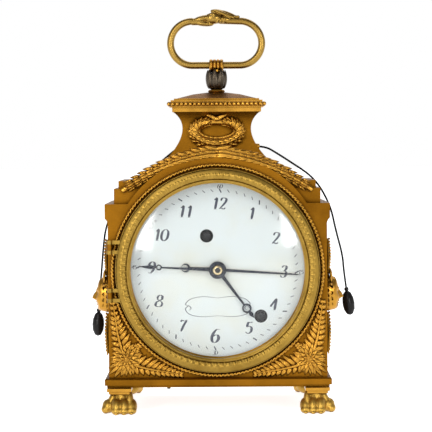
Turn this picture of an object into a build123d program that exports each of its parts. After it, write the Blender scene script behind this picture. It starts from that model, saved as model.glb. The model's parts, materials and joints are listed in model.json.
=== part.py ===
"""Travelling officer's clock of about 1800 in gilt bronze, with alarm and pull repeat.

Millimetres. +Z is up, -Y is the front, +X is to the right of someone facing the dial.
The origin is on the table, midway between the four paws.
"""

import os
from math import acos, atan2, cos, degrees, hypot, pi, radians, sin, sqrt, tan

from build123d import *

# Driving dimensions of the case
FRONT_Y = -36.0             # face of the front casting
BACK_Y = 36.0               # face of the back frame
DIAL_Z = 77.3               # height of the hands' centre
PLINTH_HALF = (61.5, 38.5)
PLINTH_Z = (14.0, 19.0)
WAIST_HALF = (59.3, 36.0)
BLOCK_HALF = (60.9, 36.0)
BLOCK_Z = (103.0, 113.4)
STEP_TWO = (56.0, 32.5, 121.6)      # half width, half depth and top of each shoulder step
STEP_THREE = (53.6, 30.6, 125.8)
NECK_TOP_Z = 163.4
WALL = 3.0
APERTURE_R = 50.0           # round opening of the front casting
DRUM_R = 59.0               # arched front that rises over the shoulders
DRUM_BACK_Y = -14.0
DOOR_OPENING = (-46.0, 46.0, 27.5, 110.5)   # left, right, bottom, top of the hole in the back
CAP_HALF = (24.4, 19.6)
BEAD_PITCH = 2.4
BEAD_ROW_Z = 167.7

# Front door with its glass, and the rope ring round it
ROPE_R = 56.9
ROPE_HALF = 1.1
BEZEL_R = (47.3, 55.3)
BEZEL_BACK_Y = -36.3
BEZEL_PIN = (-58.2, -40.6)  # x and y of the hinge pin
KNUCKLE_DROP = 13.0         # each knuckle's distance above or below the hands' centre
GLASS_RIM_R = 48.6
GLASS_RIM_Y = -40.0         # front of the rim, seated behind the lip of the door
GLASS_SAG = 5.6
GLASS_THICK = 1.2

# Dial, movement and hands, by their stations along Y
DIAL_Y = (-31.0, -29.6)     # front and back of the enamel
DIAL_R = 48.8
PLATE_HALF_WIDTH = 44.0
PLATE_Z = (31.0, 109.5)
FRONT_PLATE_Y = (-21.0, -19.0)
BACK_PLATE_Y = (3.0, 5.0)
GOING_AT = (23.4, DIAL_Z - 25.5)    # x and z of the two winding arbors
STRIKE_AT = (-5.9, DIAL_Z + 18.4)
CENTRE_AT = (0, DIAL_Z)
MIDDLE_AT = (4.47, DIAL_Z - 14.73)  # arbor between the going barrel and the centre
MINUTE_WHEEL_AT = (-8.31, DIAL_Z - 4.8)
MINUTE_ANGLE = 272.9        # hands as the photograph shows them, clockwise from 12
HOUR_ANGLE = 143.1
ALARM_ANGLE = 93.7

# Handle
HANDLE_Z = 189.7            # axis of the lower bar, on which the handle turns
HANDLE_HALF_WIDTH = 25.5    # centreline of the loop
HANDLE_RISE = 24.6
HANDLE_R = 2.0

# Pull cords
CORD_D = 1.2
PULL_R = 3.5
PULL_LENGTH = 16.0

RUNNING = 0.05              # radial clearance of a pivot in its hole


def facing(y, x=0.0, z=0.0):
    """Upright sketch plane at depth y. Its x is the clock's X, its y is up, and it extrudes to the front."""
    return Plane(origin=(x, y, z), x_dir=(1, 0, 0), z_dir=(0, -1, 0))


def sideways(x, side=1, z=0.0):
    """Upright sketch plane on a side wall, extruding outwards from the clock."""
    return Plane(origin=(x, 0, z), x_dir=(0, side, 0), z_dir=(side, 0, 0))


def along_hand(y, clockwise):
    """Sketch plane at the hands' centre whose x runs along a hand."""
    turn = radians(clockwise)
    return Plane(origin=(0, y, DIAL_Z), x_dir=(sin(turn), 0, cos(turn)), z_dir=(0, -1, 0))


ROUND_DIAL = Plane(origin=(0, 0, DIAL_Z), x_dir=(1, 0, 0), z_dir=(0, 0, 1))
DIAL_AXIS = Axis((0, 0, DIAL_Z), (0, 1, 0))


def save(part, name):
    part.label = name
    export_step(part, f"parts/{name}.step")
    print(f"{name}: {len(part.solids())} solids, {part.volume:.1f} mm3")


os.makedirs("parts", exist_ok=True)

# Case. Its shape is where a front outline pushed through meets a side outline pushed across,
# which gives four hollow-curved shoulders with crisp hips.


def front_outline():
    """Right half of the case from the front, mirrored. Local x is width and local y is height."""
    with BuildSketch(facing(BACK_Y)) as outline:
        with BuildLine():
            Polyline((0, PLINTH_Z[1]), (WAIST_HALF[0], PLINTH_Z[1]), (WAIST_HALF[0], BLOCK_Z[0] - 2.0))
            ThreePointArc((WAIST_HALF[0], BLOCK_Z[0] - 2.0), (WAIST_HALF[0] + 0.5, BLOCK_Z[0] + 1.2),
                          (BLOCK_HALF[0], BLOCK_Z[0] + 2.6))
            Polyline((BLOCK_HALF[0], BLOCK_Z[0] + 2.6), (BLOCK_HALF[0], BLOCK_Z[1]),
                     (STEP_TWO[0], BLOCK_Z[1]), (STEP_TWO[0], STEP_TWO[2]),
                     (STEP_THREE[0], STEP_TWO[2]), (STEP_THREE[0], STEP_THREE[2]), (49.5, STEP_THREE[2]))
            Spline((49.5, STEP_THREE[2]), (36.7, 131.0), (24.2, 141.7), (18.9, 155.0), (23.8, NECK_TOP_Z))
            Polyline((23.8, NECK_TOP_Z), (0, NECK_TOP_Z), (0, PLINTH_Z[1]))
        make_face()
        mirror(about=Plane.YZ)
    return outline.sketch


def side_outline():
    """Front half of the case from the side, mirrored. Local x is depth and local y is height."""
    with BuildSketch(sideways(-70.0)) as outline:
        with BuildLine():
            Polyline((0, PLINTH_Z[1]), (WAIST_HALF[1], PLINTH_Z[1]), (WAIST_HALF[1], BLOCK_Z[1]),
                     (STEP_TWO[1], BLOCK_Z[1]), (STEP_TWO[1], STEP_TWO[2]),
                     (STEP_THREE[1], STEP_TWO[2]), (STEP_THREE[1], STEP_THREE[2]), (28.0, STEP_THREE[2]))
            Spline((28.0, STEP_THREE[2]), (22.3, 131.0), (17.6, 141.7), (15.4, 155.0), (19.0, NECK_TOP_Z))
            Polyline((19.0, NECK_TOP_Z), (0, NECK_TOP_Z), (0, PLINTH_Z[1]))
        make_face()
        mirror(about=Plane.YZ)
    return outline.sketch


with BuildPart() as case:
    extrude(front_outline(), amount=BACK_Y - FRONT_Y)
    extrude(side_outline(), amount=140.0, mode=Mode.INTERSECT)
    # The arched drum of the front, slightly pointed at twelve o'clock
    with BuildSketch(facing(DRUM_BACK_Y, z=DIAL_Z)):
        Circle(DRUM_R)
        with Locations((0, 5.1)):
            Circle(57.4)
        with Locations((0, -50)):
            Rectangle(150, 140, mode=Mode.SUBTRACT)
    extrude(amount=DRUM_BACK_Y - FRONT_Y)
    # Room for the movement, the drum's hollow and the hollow of the shoulders
    with BuildSketch(facing(BACK_Y - WALL)):
        with Locations((0, (PLINTH_Z[1] + 111.0) / 2)):
            Rectangle(2 * (WAIST_HALF[0] - WALL), 111.0 - PLINTH_Z[1])
    extrude(amount=BACK_Y - FRONT_Y - 2 * WALL, mode=Mode.SUBTRACT)
    with BuildSketch(facing(DRUM_BACK_Y - WALL, z=DIAL_Z)):
        Circle(DRUM_R - WALL - 1.0)
    extrude(amount=DRUM_BACK_Y - FRONT_Y - 2 * WALL, mode=Mode.SUBTRACT)
    with BuildSketch(Plane.XY.offset(111.0)):
        Rectangle(2 * (STEP_THREE[0] - 5), 2 * (STEP_THREE[1] - 5))
    extrude(amount=11.0, mode=Mode.SUBTRACT)
    with BuildSketch(Plane.XY.offset(122.0)):
        Rectangle(24, 20)
    extrude(amount=NECK_TOP_Z - 122.0, mode=Mode.SUBTRACT)
    # Openings for the dial and for the back door
    with BuildSketch(facing(FRONT_Y + WALL, z=DIAL_Z)):
        Circle(APERTURE_R)
    extrude(amount=WALL, mode=Mode.SUBTRACT)
    with BuildSketch(facing(BACK_Y)):
        with Locations((0, (DOOR_OPENING[2] + DOOR_OPENING[3]) / 2)):
            Rectangle(DOOR_OPENING[1] - DOOR_OPENING[0], DOOR_OPENING[3] - DOOR_OPENING[2])
    extrude(amount=WALL, mode=Mode.SUBTRACT)
    # Lugs that the front plate of the movement stands against, and posts for the base screws
    for lug_z in (43.0, 100.0):
        with BuildSketch(facing(FRONT_PLATE_Y[0], z=lug_z)):
            with Locations((-48.4, 0), (48.4, 0)):
                Rectangle(16.0, 8.0)
        extrude(amount=4.0)
    with BuildSketch(Plane.XY.offset(PLINTH_Z[1])):
        with GridLocations(104.6, 58.0, 2, 2):
            Rectangle(8.2, 8.2)
    extrude(amount=9.0)
    with BuildSketch(Plane.XY.offset(PLINTH_Z[1])):
        with GridLocations(104.6, 58.0, 2, 2):
            Circle(1.5)
    extrude(amount=7.0, mode=Mode.SUBTRACT)
    # Fixed halves of the bezel hinge, reaching forward through the rope ring
    for side in (-1, 1):
        with BuildSketch(Plane.XY.offset(DIAL_Z + side * KNUCKLE_DROP - 1.6)):
            with Locations((BEZEL_PIN[0], (BEZEL_PIN[1] + FRONT_Y) / 2 + 0.3)):
                Rectangle(1.6, FRONT_Y - BEZEL_PIN[1] + 0.6)
            with Locations(BEZEL_PIN):
                Circle(1.5)
                Circle(0.7 + RUNNING, mode=Mode.SUBTRACT)
        extrude(amount=3.2)
    # Fixed halves of the back door's hinge
    for hinge_z in (47.0, 91.0):
        with BuildSketch(Plane.XY.offset(hinge_z - 2.5)):
            with Locations((-48.6, BACK_Y + 0.5)):
                Rectangle(3.6, 1.0)
            with Locations((-47.0, BACK_Y + 1.5)):
                Circle(1.5)
                Circle(0.7 + RUNNING, mode=Mode.SUBTRACT)
        extrude(amount=5.0)
save(case.part, "case")

with BuildPart() as plinth:
    with BuildSketch(Plane.XY.offset(PLINTH_Z[0])):
        Rectangle(2 * PLINTH_HALF[0] - 2.4, 2 * PLINTH_HALF[1] - 2.4)
    extrude(amount=1.2)
    with BuildSketch(Plane.XY.offset(PLINTH_Z[0] + 1.2)):
        Rectangle(2 * PLINTH_HALF[0], 2 * PLINTH_HALF[1])
    extrude(amount=PLINTH_Z[1] - PLINTH_Z[0] - 1.2)
    chamfer(plinth.faces().sort_by(Axis.Z)[-1].edges(), 0.8)
    with Locations(Plane.XY.offset(PLINTH_Z[0]).rotated((180, 0, 0))):
        with GridLocations(104.6, 58.0, 2, 2):
            CounterBoreHole(1.6, 2.8, 2.0)
save(plinth.part, "plinth")

with BuildPart() as base_screws:
    with BuildSketch(Plane.XY.offset(PLINTH_Z[0] + 0.3)):
        with GridLocations(104.6, 58.0, 2, 2):
            RegularPolygon(2.7, 12)
    extrude(amount=1.7)
    with BuildSketch(Plane.XY.offset(PLINTH_Z[0] + 2.0)):
        with GridLocations(104.6, 58.0, 2, 2):
            RegularPolygon(1.4, 8)
    extrude(amount=9.0)
    with BuildSketch(Plane.XY.offset(PLINTH_Z[0] + 0.3)):
        with GridLocations(104.6, 58.0, 2, 2):
            Rectangle(6.0, 0.7)
    extrude(amount=0.8, mode=Mode.SUBTRACT)
save(base_screws.part, "base_screws")

with BuildPart() as base_stud:
    with BuildSketch(Plane.XY.offset(PLINTH_Z[0])):
        with Locations((-27.0, -31.0)):
            Circle(0.95)
    extrude(amount=-1.6)
save(base_stud.part, "base_stud")

# Lion's paws. Each toe is its side outline pushed across, rounded over the knuckle and the tip.

TOE_WIDTHS = (4.4, 4.2, 4.2, 5.2)


def paw(sx, sy):
    """One foot, its toes to the front or back and its big toe outwards."""
    with BuildPart() as foot:
        with BuildSketch(Plane.XY.offset(10.4)):
            with Locations((-51.6, -30.6)):
                Rectangle(13.4, 13.4)
        extrude(amount=PLINTH_Z[0] - 10.4)
        with BuildSketch(Plane.XY.offset(10.4)):
            with Locations((-51.8, -30.9)):
                RectangleRounded(9.6, 10.0, 3.0)
        with BuildSketch(Plane.XY.offset(3.2)):
            with Locations((-52.6, -32.6)):
                RectangleRounded(15.6, 13.0, 3.0)
        loft()
        with BuildSketch(Plane.XY):
            with Locations((-52.6, -32.0)):
                RectangleRounded(16.4, 13.6, 3.0)
        extrude(amount=3.2)
        left = -62.4
        for width in reversed(TOE_WIDTHS):
            reach = 1.4 if width > 5 else 0.0
            with BuildSketch(Plane(origin=(left + 0.15, 0, 0), x_dir=(0, 1, 0), z_dir=(1, 0, 0))):
                with BuildLine():
                    Polyline((-34, 7.4), (-34, 0), (-45.2 + reach, 0))
                    ThreePointArc((-45.2 + reach, 0), (-46.4 + reach, 2.2), (-44.6 + reach, 4.4))
                    ThreePointArc((-44.6 + reach, 4.4), (-40.8, 5.9), (-38.2, 7.4))
                    Line((-38.2, 7.4), (-34, 7.4))
                make_face()
            extrude(amount=width - 0.3)
            left += width
    part = foot.part
    if sx > 0:
        part = part.mirror(Plane.YZ)
    if sy > 0:
        part = part.mirror(Plane.XZ)
    return part


for name, sx, sy in (("paw_front_left", -1, -1), ("paw_front_right", 1, -1),
                     ("paw_back_left", -1, 1), ("paw_back_right", 1, 1)):
    save(paw(sx, sy), name)

# Rope ring, front door and glass, turned about the dial's axis

with BuildPart() as rope_ring:
    with BuildSketch(ROUND_DIAL):
        with Locations((ROPE_R, FRONT_Y - ROPE_HALF)):
            RegularPolygon(ROPE_HALF, 6, major_radius=False)
    revolve(axis=DIAL_AXIS)
    with Locations((BEZEL_PIN[0], FRONT_Y - 1, DIAL_Z - KNUCKLE_DROP),
                   (BEZEL_PIN[0], FRONT_Y - 1, DIAL_Z + KNUCKLE_DROP)):
        Box(6.0, 8.0, 4.0, mode=Mode.SUBTRACT)
save(rope_ring.part, "rope_ring")

with BuildPart() as bezel:
    with BuildSketch(ROUND_DIAL):
        with BuildLine():
            Polyline((BEZEL_R[1], BEZEL_BACK_Y), (BEZEL_R[1], -38.6), (54.0, -41.4), (51.4, -43.4),
                     (49.4, -42.4), (49.0, -42.9), (BEZEL_R[0], -42.0), (BEZEL_R[0], GLASS_RIM_Y - 0.4),
                     (GLASS_RIM_R + 0.05, GLASS_RIM_Y), (GLASS_RIM_R + 0.05, -38.4), (50.6, BEZEL_BACK_Y),
                     close=True)
        make_face()
    revolve(axis=DIAL_AXIS)
    for side in (-1, 1):
        for step in (-1, 1):
            knuckle_z = DIAL_Z + side * KNUCKLE_DROP + step * 2.7
            with BuildSketch(Plane.XY.offset(knuckle_z - 1.0)):
                with Locations(((BEZEL_PIN[0] - 52.4) / 2, BEZEL_PIN[1] + 0.7)):
                    Rectangle(BEZEL_PIN[0] * -1 - 52.4, 1.4)
                with Locations(BEZEL_PIN):
                    Circle(1.5)
            extrude(amount=2.0)
        with BuildSketch(Plane.XY.offset(DIAL_Z + side * KNUCKLE_DROP - 1.8)):
            with Locations(BEZEL_PIN):
                Circle(0.7)
        extrude(amount=3.6)
save(bezel.part, "bezel")

GLASS_SPHERE_R = (GLASS_RIM_R ** 2 + GLASS_SAG ** 2) / (2 * GLASS_SAG)


def dome_y(radius):
    """Front of the glass at a distance from its middle."""
    return GLASS_RIM_Y - GLASS_SAG + GLASS_SPHERE_R - sqrt(GLASS_SPHERE_R ** 2 - radius ** 2)


GLASS_RINGS = [GLASS_RIM_R * share for share in (0.0, 0.3, 0.55, 0.8, 1.0)]
with BuildPart() as glass:
    with BuildSketch(ROUND_DIAL):
        with BuildLine():
            Polyline(*[(radius, dome_y(radius)) for radius in GLASS_RINGS],
                     *[(radius, dome_y(radius) + GLASS_THICK) for radius in reversed(GLASS_RINGS)], close=True)
        make_face()
    revolve(axis=DIAL_AXIS)
save(glass.part, "glass")

# Dial and the ring that hides its edge

with BuildPart() as dial_ring:
    with BuildSketch(ROUND_DIAL):
        section = [(54.0, -33.0), (54.0, -31.6), (48.2, -31.0), (47.4, -31.2), (50.0, -33.0)]
        with BuildLine():
            Polyline(*section, close=True)
        make_face()
    revolve(axis=DIAL_AXIS)
save(dial_ring.part, "dial_ring")

with BuildPart() as dial:
    with BuildSketch(facing(DIAL_Y[1])):
        with Locations((0, DIAL_Z)):
            Circle(DIAL_R)
            Circle(3.2, mode=Mode.SUBTRACT)
        with Locations(GOING_AT, STRIKE_AT):
            Circle(3.6, mode=Mode.SUBTRACT)
    extrude(amount=DIAL_Y[1] - DIAL_Y[0])
    with BuildSketch(facing(FRONT_PLATE_Y[0])):
        with Locations((0, DIAL_Z)):
            with PolarLocations(38.0, 4, 50):
                RegularPolygon(1.2, 8)
    extrude(amount=FRONT_PLATE_Y[0] - DIAL_Y[1])
save(dial.part, "dial")


# Hands, cut from flat steel, each with its tube


def hand(y, angle, thick, outline):
    """Flat hand drawn along x from its centre by the function given."""
    with BuildPart() as blade:
        extrude(outline(along_hand(y, angle)), amount=thick)
    return blade.part


def hour_outline(plane):
    with BuildSketch(plane) as shape:
        Circle(4.6)
        with BuildLine():
            Polyline((3, -1.0), (3, 1.0), (24.2, 0.5), (24.2, -0.5), close=True)
        make_face()
        with Locations((26.2, 0)):
            Circle(2.6)
            Circle(1.7, mode=Mode.SUBTRACT)
        with BuildLine():
            Polyline((28.2, 0.5), (30.3, 1.2), (32.9, 0), (30.3, -1.2), (28.2, -0.5), close=True)
        make_face()
        Circle(1.65, mode=Mode.SUBTRACT)
    return shape.sketch


def minute_outline(plane):
    with BuildSketch(plane) as shape:
        Circle(3.4)
        with BuildLine():
            Polyline((2.5, -0.9), (2.5, 0.9), (30.6, 0.4), (30.6, -0.4), close=True)
        make_face()
        with Locations((31.9, 0)):
            Circle(1.6)
            Circle(0.9, mode=Mode.SUBTRACT)
        with BuildLine():
            Polyline((33.2, 0.4), (36.5, 1.1), (43.3, 0), (36.5, -1.1), (33.2, -0.4), close=True)
        make_face()
        Circle(1.0 + RUNNING, mode=Mode.SUBTRACT)
    return shape.sketch


def alarm_outline(plane):
    with BuildSketch(plane) as shape:
        Circle(4.2)
        with BuildLine():
            Polyline((3, -0.8), (3, 0.8), (42.0, 0.35), (45.6, 0), (42.0, -0.35), close=True)
        make_face()
        with BuildLine():
            Polyline((-3, -1.1), (-3, 1.1), (-15.4, 0.6), (-15.4, -0.6), close=True)
        make_face()
        with Locations((-17.4, 0)):
            Circle(2.4)
            with Locations((-0.5, 0)):
                Circle(1.7, mode=Mode.SUBTRACT)
        Circle(2.2 + RUNNING, mode=Mode.SUBTRACT)
    return shape.sketch


def tube(front, back, outer, inner):
    """Upright-facing tube at the hands' centre between two depths."""
    with BuildPart() as pipe:
        with BuildSketch(facing(back, z=DIAL_Z)):
            Circle(outer)
            if inner:
                Circle(inner, mode=Mode.SUBTRACT)
        extrude(amount=back - front)
    return pipe.part


def meshed(at, teeth, phase, other_at, other_teeth):
    """Turn in degrees that puts a gap of the other wheel where this one's tooth is."""
    toward = degrees(atan2(other_at[1] - at[1], other_at[0] - at[0]))
    offset = (phase - toward) * teeth / 360
    return toward + 180 + 360 / other_teeth * (0.5 - offset)


def wheel(at, front, back, teeth, module, bore, spokes=True, leaves=False, phase=0.0):
    """Toothed wheel or pinion facing the front. Teeth are straight-sided, with room to run."""
    pitch_r = teeth * module / 2
    tip_r = pitch_r + module * (0.55 if leaves else 0.85)
    root_r = pitch_r - module * (1.35 if leaves else 1.2)
    root_half, tip_half = (pi / teeth * 0.40, pi / teeth * 0.18) if leaves else (pi / teeth * 0.45, pi / teeth * 0.17)
    with BuildPart() as gear:
        with BuildSketch(facing(back, at[0], at[1])):
            Circle(root_r)
            with BuildLine():
                Polyline((root_r - 0.3, -root_r * root_half), (root_r - 0.3, root_r * root_half),
                         (tip_r, tip_r * tip_half), (tip_r, -tip_r * tip_half), close=True)
            tooth = make_face(mode=Mode.PRIVATE)
            with PolarLocations(0, teeth, phase):
                add(tooth)
            if spokes:
                with PolarLocations(0, 5):
                    with Locations((root_r * 0.55, 0)):
                        Circle(root_r * 0.24, mode=Mode.SUBTRACT)
            if bore:
                Circle(bore, mode=Mode.SUBTRACT)
        extrude(amount=back - front)
    return gear.part


def arbor(at, stations, square=None):
    """Turned arbor through a list of (front, back, radius) lengths, with an optional square end."""
    with BuildPart() as shaft:
        for front, back, radius in stations:
            with BuildSketch(facing(back, at[0], at[1])):
                Circle(radius)
            extrude(amount=back - front)
        if square:
            with BuildSketch(facing(square[1], at[0], at[1])):
                Rectangle(square[2], square[2])
            extrude(amount=square[1] - square[0])
    return shaft.part


save(hand(-34.6 + 0.5, MINUTE_ANGLE, 0.5, minute_outline), "minute_hand")
save(hand(-33.5 + 0.5, HOUR_ANGLE, 0.5, hour_outline), "hour_hand")
save(hand(-32.4 + 0.5, ALARM_ANGLE, 0.5, alarm_outline) + tube(-31.9, -27.0, 2.7, 2.2 + RUNNING)
     + tube(-27.0, -26.2, 6.0, 2.2 + RUNNING), "alarm_hand")

with BuildPart() as centre_arbor:
    add(arbor((0, DIAL_Z), [(-34.9, BACK_PLATE_Y[1] + 0.4, 1.0)]))
    add(wheel((0, DIAL_Z), -18.6, -14.6, 8, 0.55, 0, spokes=False, leaves=True))
    add(wheel((0, DIAL_Z), 0.0, 1.2, 42, 0.5, 0))
    with BuildSketch(ROUND_DIAL):
        with BuildLine():
            Polyline((0, -36.6), (1.2, -36.4), (2.3, -35.6), (2.4, -34.6), (0, -34.6), close=True)
        make_face()
    revolve(axis=DIAL_AXIS)
save(centre_arbor.part, "centre_arbor")
save(tube(-34.1, -23.0, 1.6, 1.0 + RUNNING) + wheel((0, DIAL_Z), -23.0, -21.6, 12, 0.4, 1.0 + RUNNING, False, True),
     "cannon_pinion")
save(tube(-33.0, -25.2, 2.2, 1.6 + RUNNING) + wheel((0, DIAL_Z), -25.2, -23.8, 40, 0.384, 1.6 + RUNNING),
     "hour_wheel")
TO_CANNON = meshed(CENTRE_AT, 12, 0.0, MINUTE_WHEEL_AT, 36)
TO_HOUR = meshed(CENTRE_AT, 40, 0.0, MINUTE_WHEEL_AT, 10)
save(wheel(MINUTE_WHEEL_AT, -22.8, -21.8, 36, 0.4, 0, phase=TO_CANNON)
     + wheel(MINUTE_WHEEL_AT, -25.4, -22.8, 10, 0.384, 0, False, True, TO_HOUR)
     + arbor(MINUTE_WHEEL_AT, [(-21.8, FRONT_PLATE_Y[1], 0.7)]), "minute_wheel")

# Going and strike work between the plates


def barrel(at, front, back, drum_r, teeth):
    """Spring barrel with its great wheel at the back, running on its arbor."""
    with BuildPart() as drum:
        with BuildSketch(facing(back, at[0], at[1])):
            Circle(drum_r)
            Circle(1.6 + RUNNING, mode=Mode.SUBTRACT)
        extrude(amount=back - front)
        add(wheel(at, back, back + 1.6, teeth, 0.75, 1.6 + RUNNING, spokes=False))
    return drum.part


save(barrel(GOING_AT, -14.0, -2.6, 15.5, 48), "going_barrel")
save(barrel(STRIKE_AT, -14.0, -2.6, 11.0, 36), "strike_barrel")
for name, at in (("going_arbor", GOING_AT), ("strike_arbor", STRIKE_AT)):
    save(arbor(at, [(-27.0, -14.4, 2.0), (-14.4, 0.6, 1.6), (0.6, 1.6, 2.6), (1.6, BACK_PLATE_Y[1] + 0.6, 1.3)],
               square=(-30.6, -27.0, 2.6)), name)
save(arbor(MIDDLE_AT, [(-20.0, BACK_PLATE_Y[1], 0.8)])
     + wheel(MIDDLE_AT, -17.2, -15.8, 48, 0.55, 0, phase=meshed(CENTRE_AT, 8, 0.0, MIDDLE_AT, 48))
     + wheel(MIDDLE_AT, -2.8, -0.8, 10, 0.75, 0, False, True, meshed(GOING_AT, 48, 0.0, MIDDLE_AT, 10)),
     "middle_wheel")


def plate(y, holes):
    """Movement plate between two depths with its pivot holes."""
    with BuildPart() as sheet:
        with BuildSketch(facing(y[1])):
            with Locations((0, (PLATE_Z[0] + PLATE_Z[1]) / 2)):
                RectangleRounded(2 * PLATE_HALF_WIDTH, PLATE_Z[1] - PLATE_Z[0], 2.0)
            for at, radius in holes:
                with Locations(at):
                    Circle(radius + RUNNING, mode=Mode.SUBTRACT)
        extrude(amount=y[1] - y[0])
    return sheet.part


BALANCE_AT = (18.0, 97.0)
HAMMER_AT = (29.0, 78.0)
save(plate(FRONT_PLATE_Y, [(CENTRE_AT, 1.0), (GOING_AT, 2.0), (STRIKE_AT, 2.0), (MIDDLE_AT, 0.8),
                           (MINUTE_WHEEL_AT, 0.7)]), "front_plate")

PILLARS = [(-38.5, 36.5), (38.0, 104.0), (-38.5, 104.0), (6.0, 36.5)]
with BuildPart() as back_plate:
    add(plate(BACK_PLATE_Y, [(CENTRE_AT, 1.0), (GOING_AT, 1.3), (STRIKE_AT, 1.3), (MIDDLE_AT, 0.8),
                             (BALANCE_AT, 0.5), (HAMMER_AT, 1.2)]))
    with BuildSketch(facing(BACK_PLATE_Y[0])):
        with Locations(*PILLARS):
            RegularPolygon(2.4, 10)
    extrude(amount=BACK_PLATE_Y[0] - FRONT_PLATE_Y[1])
save(back_plate.part, "back_plate")

with BuildPart() as plate_screws:
    with BuildSketch(facing(BACK_PLATE_Y[1] + 1.2)):
        with Locations(*PILLARS):
            RegularPolygon(2.0, 12)
        with Locations(*PILLARS):
            Rectangle(5.0, 0.6, mode=Mode.SUBTRACT)
    extrude(amount=0.8)
    with BuildSketch(facing(BACK_PLATE_Y[1] + 0.4)):
        with Locations(*PILLARS):
            RegularPolygon(2.0, 12)
    extrude(amount=0.4)
save(plate_screws.part, "plate_screws")

# Balance, bell and hammer on the back plate
with BuildPart() as balance_wheel:
    add(arbor(BALANCE_AT, [(3.4, 12.0, 0.5), (6.4, 7.0, 1.6)]))
    with BuildSketch(facing(9.4, *BALANCE_AT)):
        Circle(8.6)
        Circle(7.4, mode=Mode.SUBTRACT)
        with PolarLocations(0, 3):
            with Locations((4.0, 0)):
                Rectangle(7.6, 0.9)
        Circle(1.1)
    extrude(amount=1.2)
save(balance_wheel.part, "balance_wheel")

with BuildPart() as balance_cock:
    with BuildSketch(facing(11.6)):
        with BuildLine():
            Polyline((BALANCE_AT[0], BALANCE_AT[1] + 2.2), (36.0, 100.4), (36.0, 93.6),
                     (BALANCE_AT[0], BALANCE_AT[1] - 2.2), close=True)
        make_face()
        with Locations(BALANCE_AT):
            Circle(2.2)
            Circle(0.5 + RUNNING, mode=Mode.SUBTRACT)
    extrude(amount=1.2)
    with BuildSketch(facing(10.4)):
        with Locations((32.4, 97.0)):
            Rectangle(7.2, 6.8)
    extrude(amount=10.4 - BACK_PLATE_Y[1])
save(balance_cock.part, "balance_cock")

BELL_AT = (-8.0, 56.0)
with BuildPart() as bell:
    with BuildSketch(Plane(origin=(BELL_AT[0], 0, BELL_AT[1]), x_dir=(1, 0, 0), z_dir=(0, 0, 1))):
        with BuildLine():
            Polyline((1.2, 21.4), (2.6, 21.4), (15.0, 18.6), (20.4, 13.4), (21.4, 11.0), (22.4, 11.0),
                     (21.4, 14.0), (15.8, 19.6), (1.2, 22.6), close=True)
        make_face()
    revolve(axis=Axis((BELL_AT[0], 0, BELL_AT[1]), (0, 1, 0)))
save(bell.part, "bell")

with BuildPart() as bell_post:
    add(arbor(BELL_AT, [(BACK_PLATE_Y[1], 21.4, 2.0), (21.4, 22.6, 1.2), (22.6, 24.4, 2.2)]))
save(bell_post.part, "bell_post")

with BuildPart() as hammer:
    add(arbor(HAMMER_AT, [(3.2, 15.6, 1.2)]))
    with BuildSketch(facing(15.6)):
        with BuildLine():
            Polyline((HAMMER_AT[0] - 1.8, HAMMER_AT[1]), (HAMMER_AT[0] + 1.8, HAMMER_AT[1] + 1.4),
                     (20.4, 59.0), (18.6, 59.8), close=True)
        make_face()
        with Locations(HAMMER_AT):
            Circle(2.2)
        with Locations((18.4, 57.4)):
            Rectangle(6.0, 5.0, rotation=-25)
    extrude(amount=2.0)
save(hammer.part, "hammer")

# Back door, pierced to let the bell be heard
with BuildPart() as back_door:
    door_mid_z = (DOOR_OPENING[2] + DOOR_OPENING[3]) / 2
    with BuildSketch(facing(BACK_Y)):
        with Locations((0, door_mid_z)):
            Rectangle(91.4, DOOR_OPENING[3] - DOOR_OPENING[2] - 0.6)
        with Locations((0, door_mid_z)):
            with GridLocations(13.0, 22.0, 5, 3):
                SlotOverall(17.0, 4.2, rotation=90, mode=Mode.SUBTRACT)
    extrude(amount=2.0)
    for hinge_z in (47.0, 91.0):
        for step in (-1, 1):
            with BuildSketch(Plane.XY.offset(hinge_z + step * 4.2 - 1.6)):
                with Locations((-45.5, BACK_Y + 0.5)):
                    Rectangle(3.0, 1.0)
                with Locations((-47.0, BACK_Y + 1.5)):
                    Circle(1.5)
            extrude(amount=3.2)
        with BuildSketch(Plane.XY.offset(hinge_z - 2.7)):
            with Locations((-47.0, BACK_Y + 1.5)):
                Circle(0.7)
        extrude(amount=5.4)
save(back_door.part, "back_door")

with BuildPart() as door_knob:
    with BuildSketch(Plane(origin=(40.6, 0, 69.0), x_dir=(1, 0, 0), z_dir=(0, 0, 1))):
        with BuildLine():
            Polyline((0, BACK_Y), (1.8, BACK_Y), (1.4, BACK_Y + 2.6), (3.0, BACK_Y + 4.2),
                     (2.6, BACK_Y + 6.4), (0, BACK_Y + 7.0), close=True)
        make_face()
    revolve(axis=Axis((40.6, 0, 69.0), (0, 1, 0)))
save(door_knob.part, "door_knob")

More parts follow.
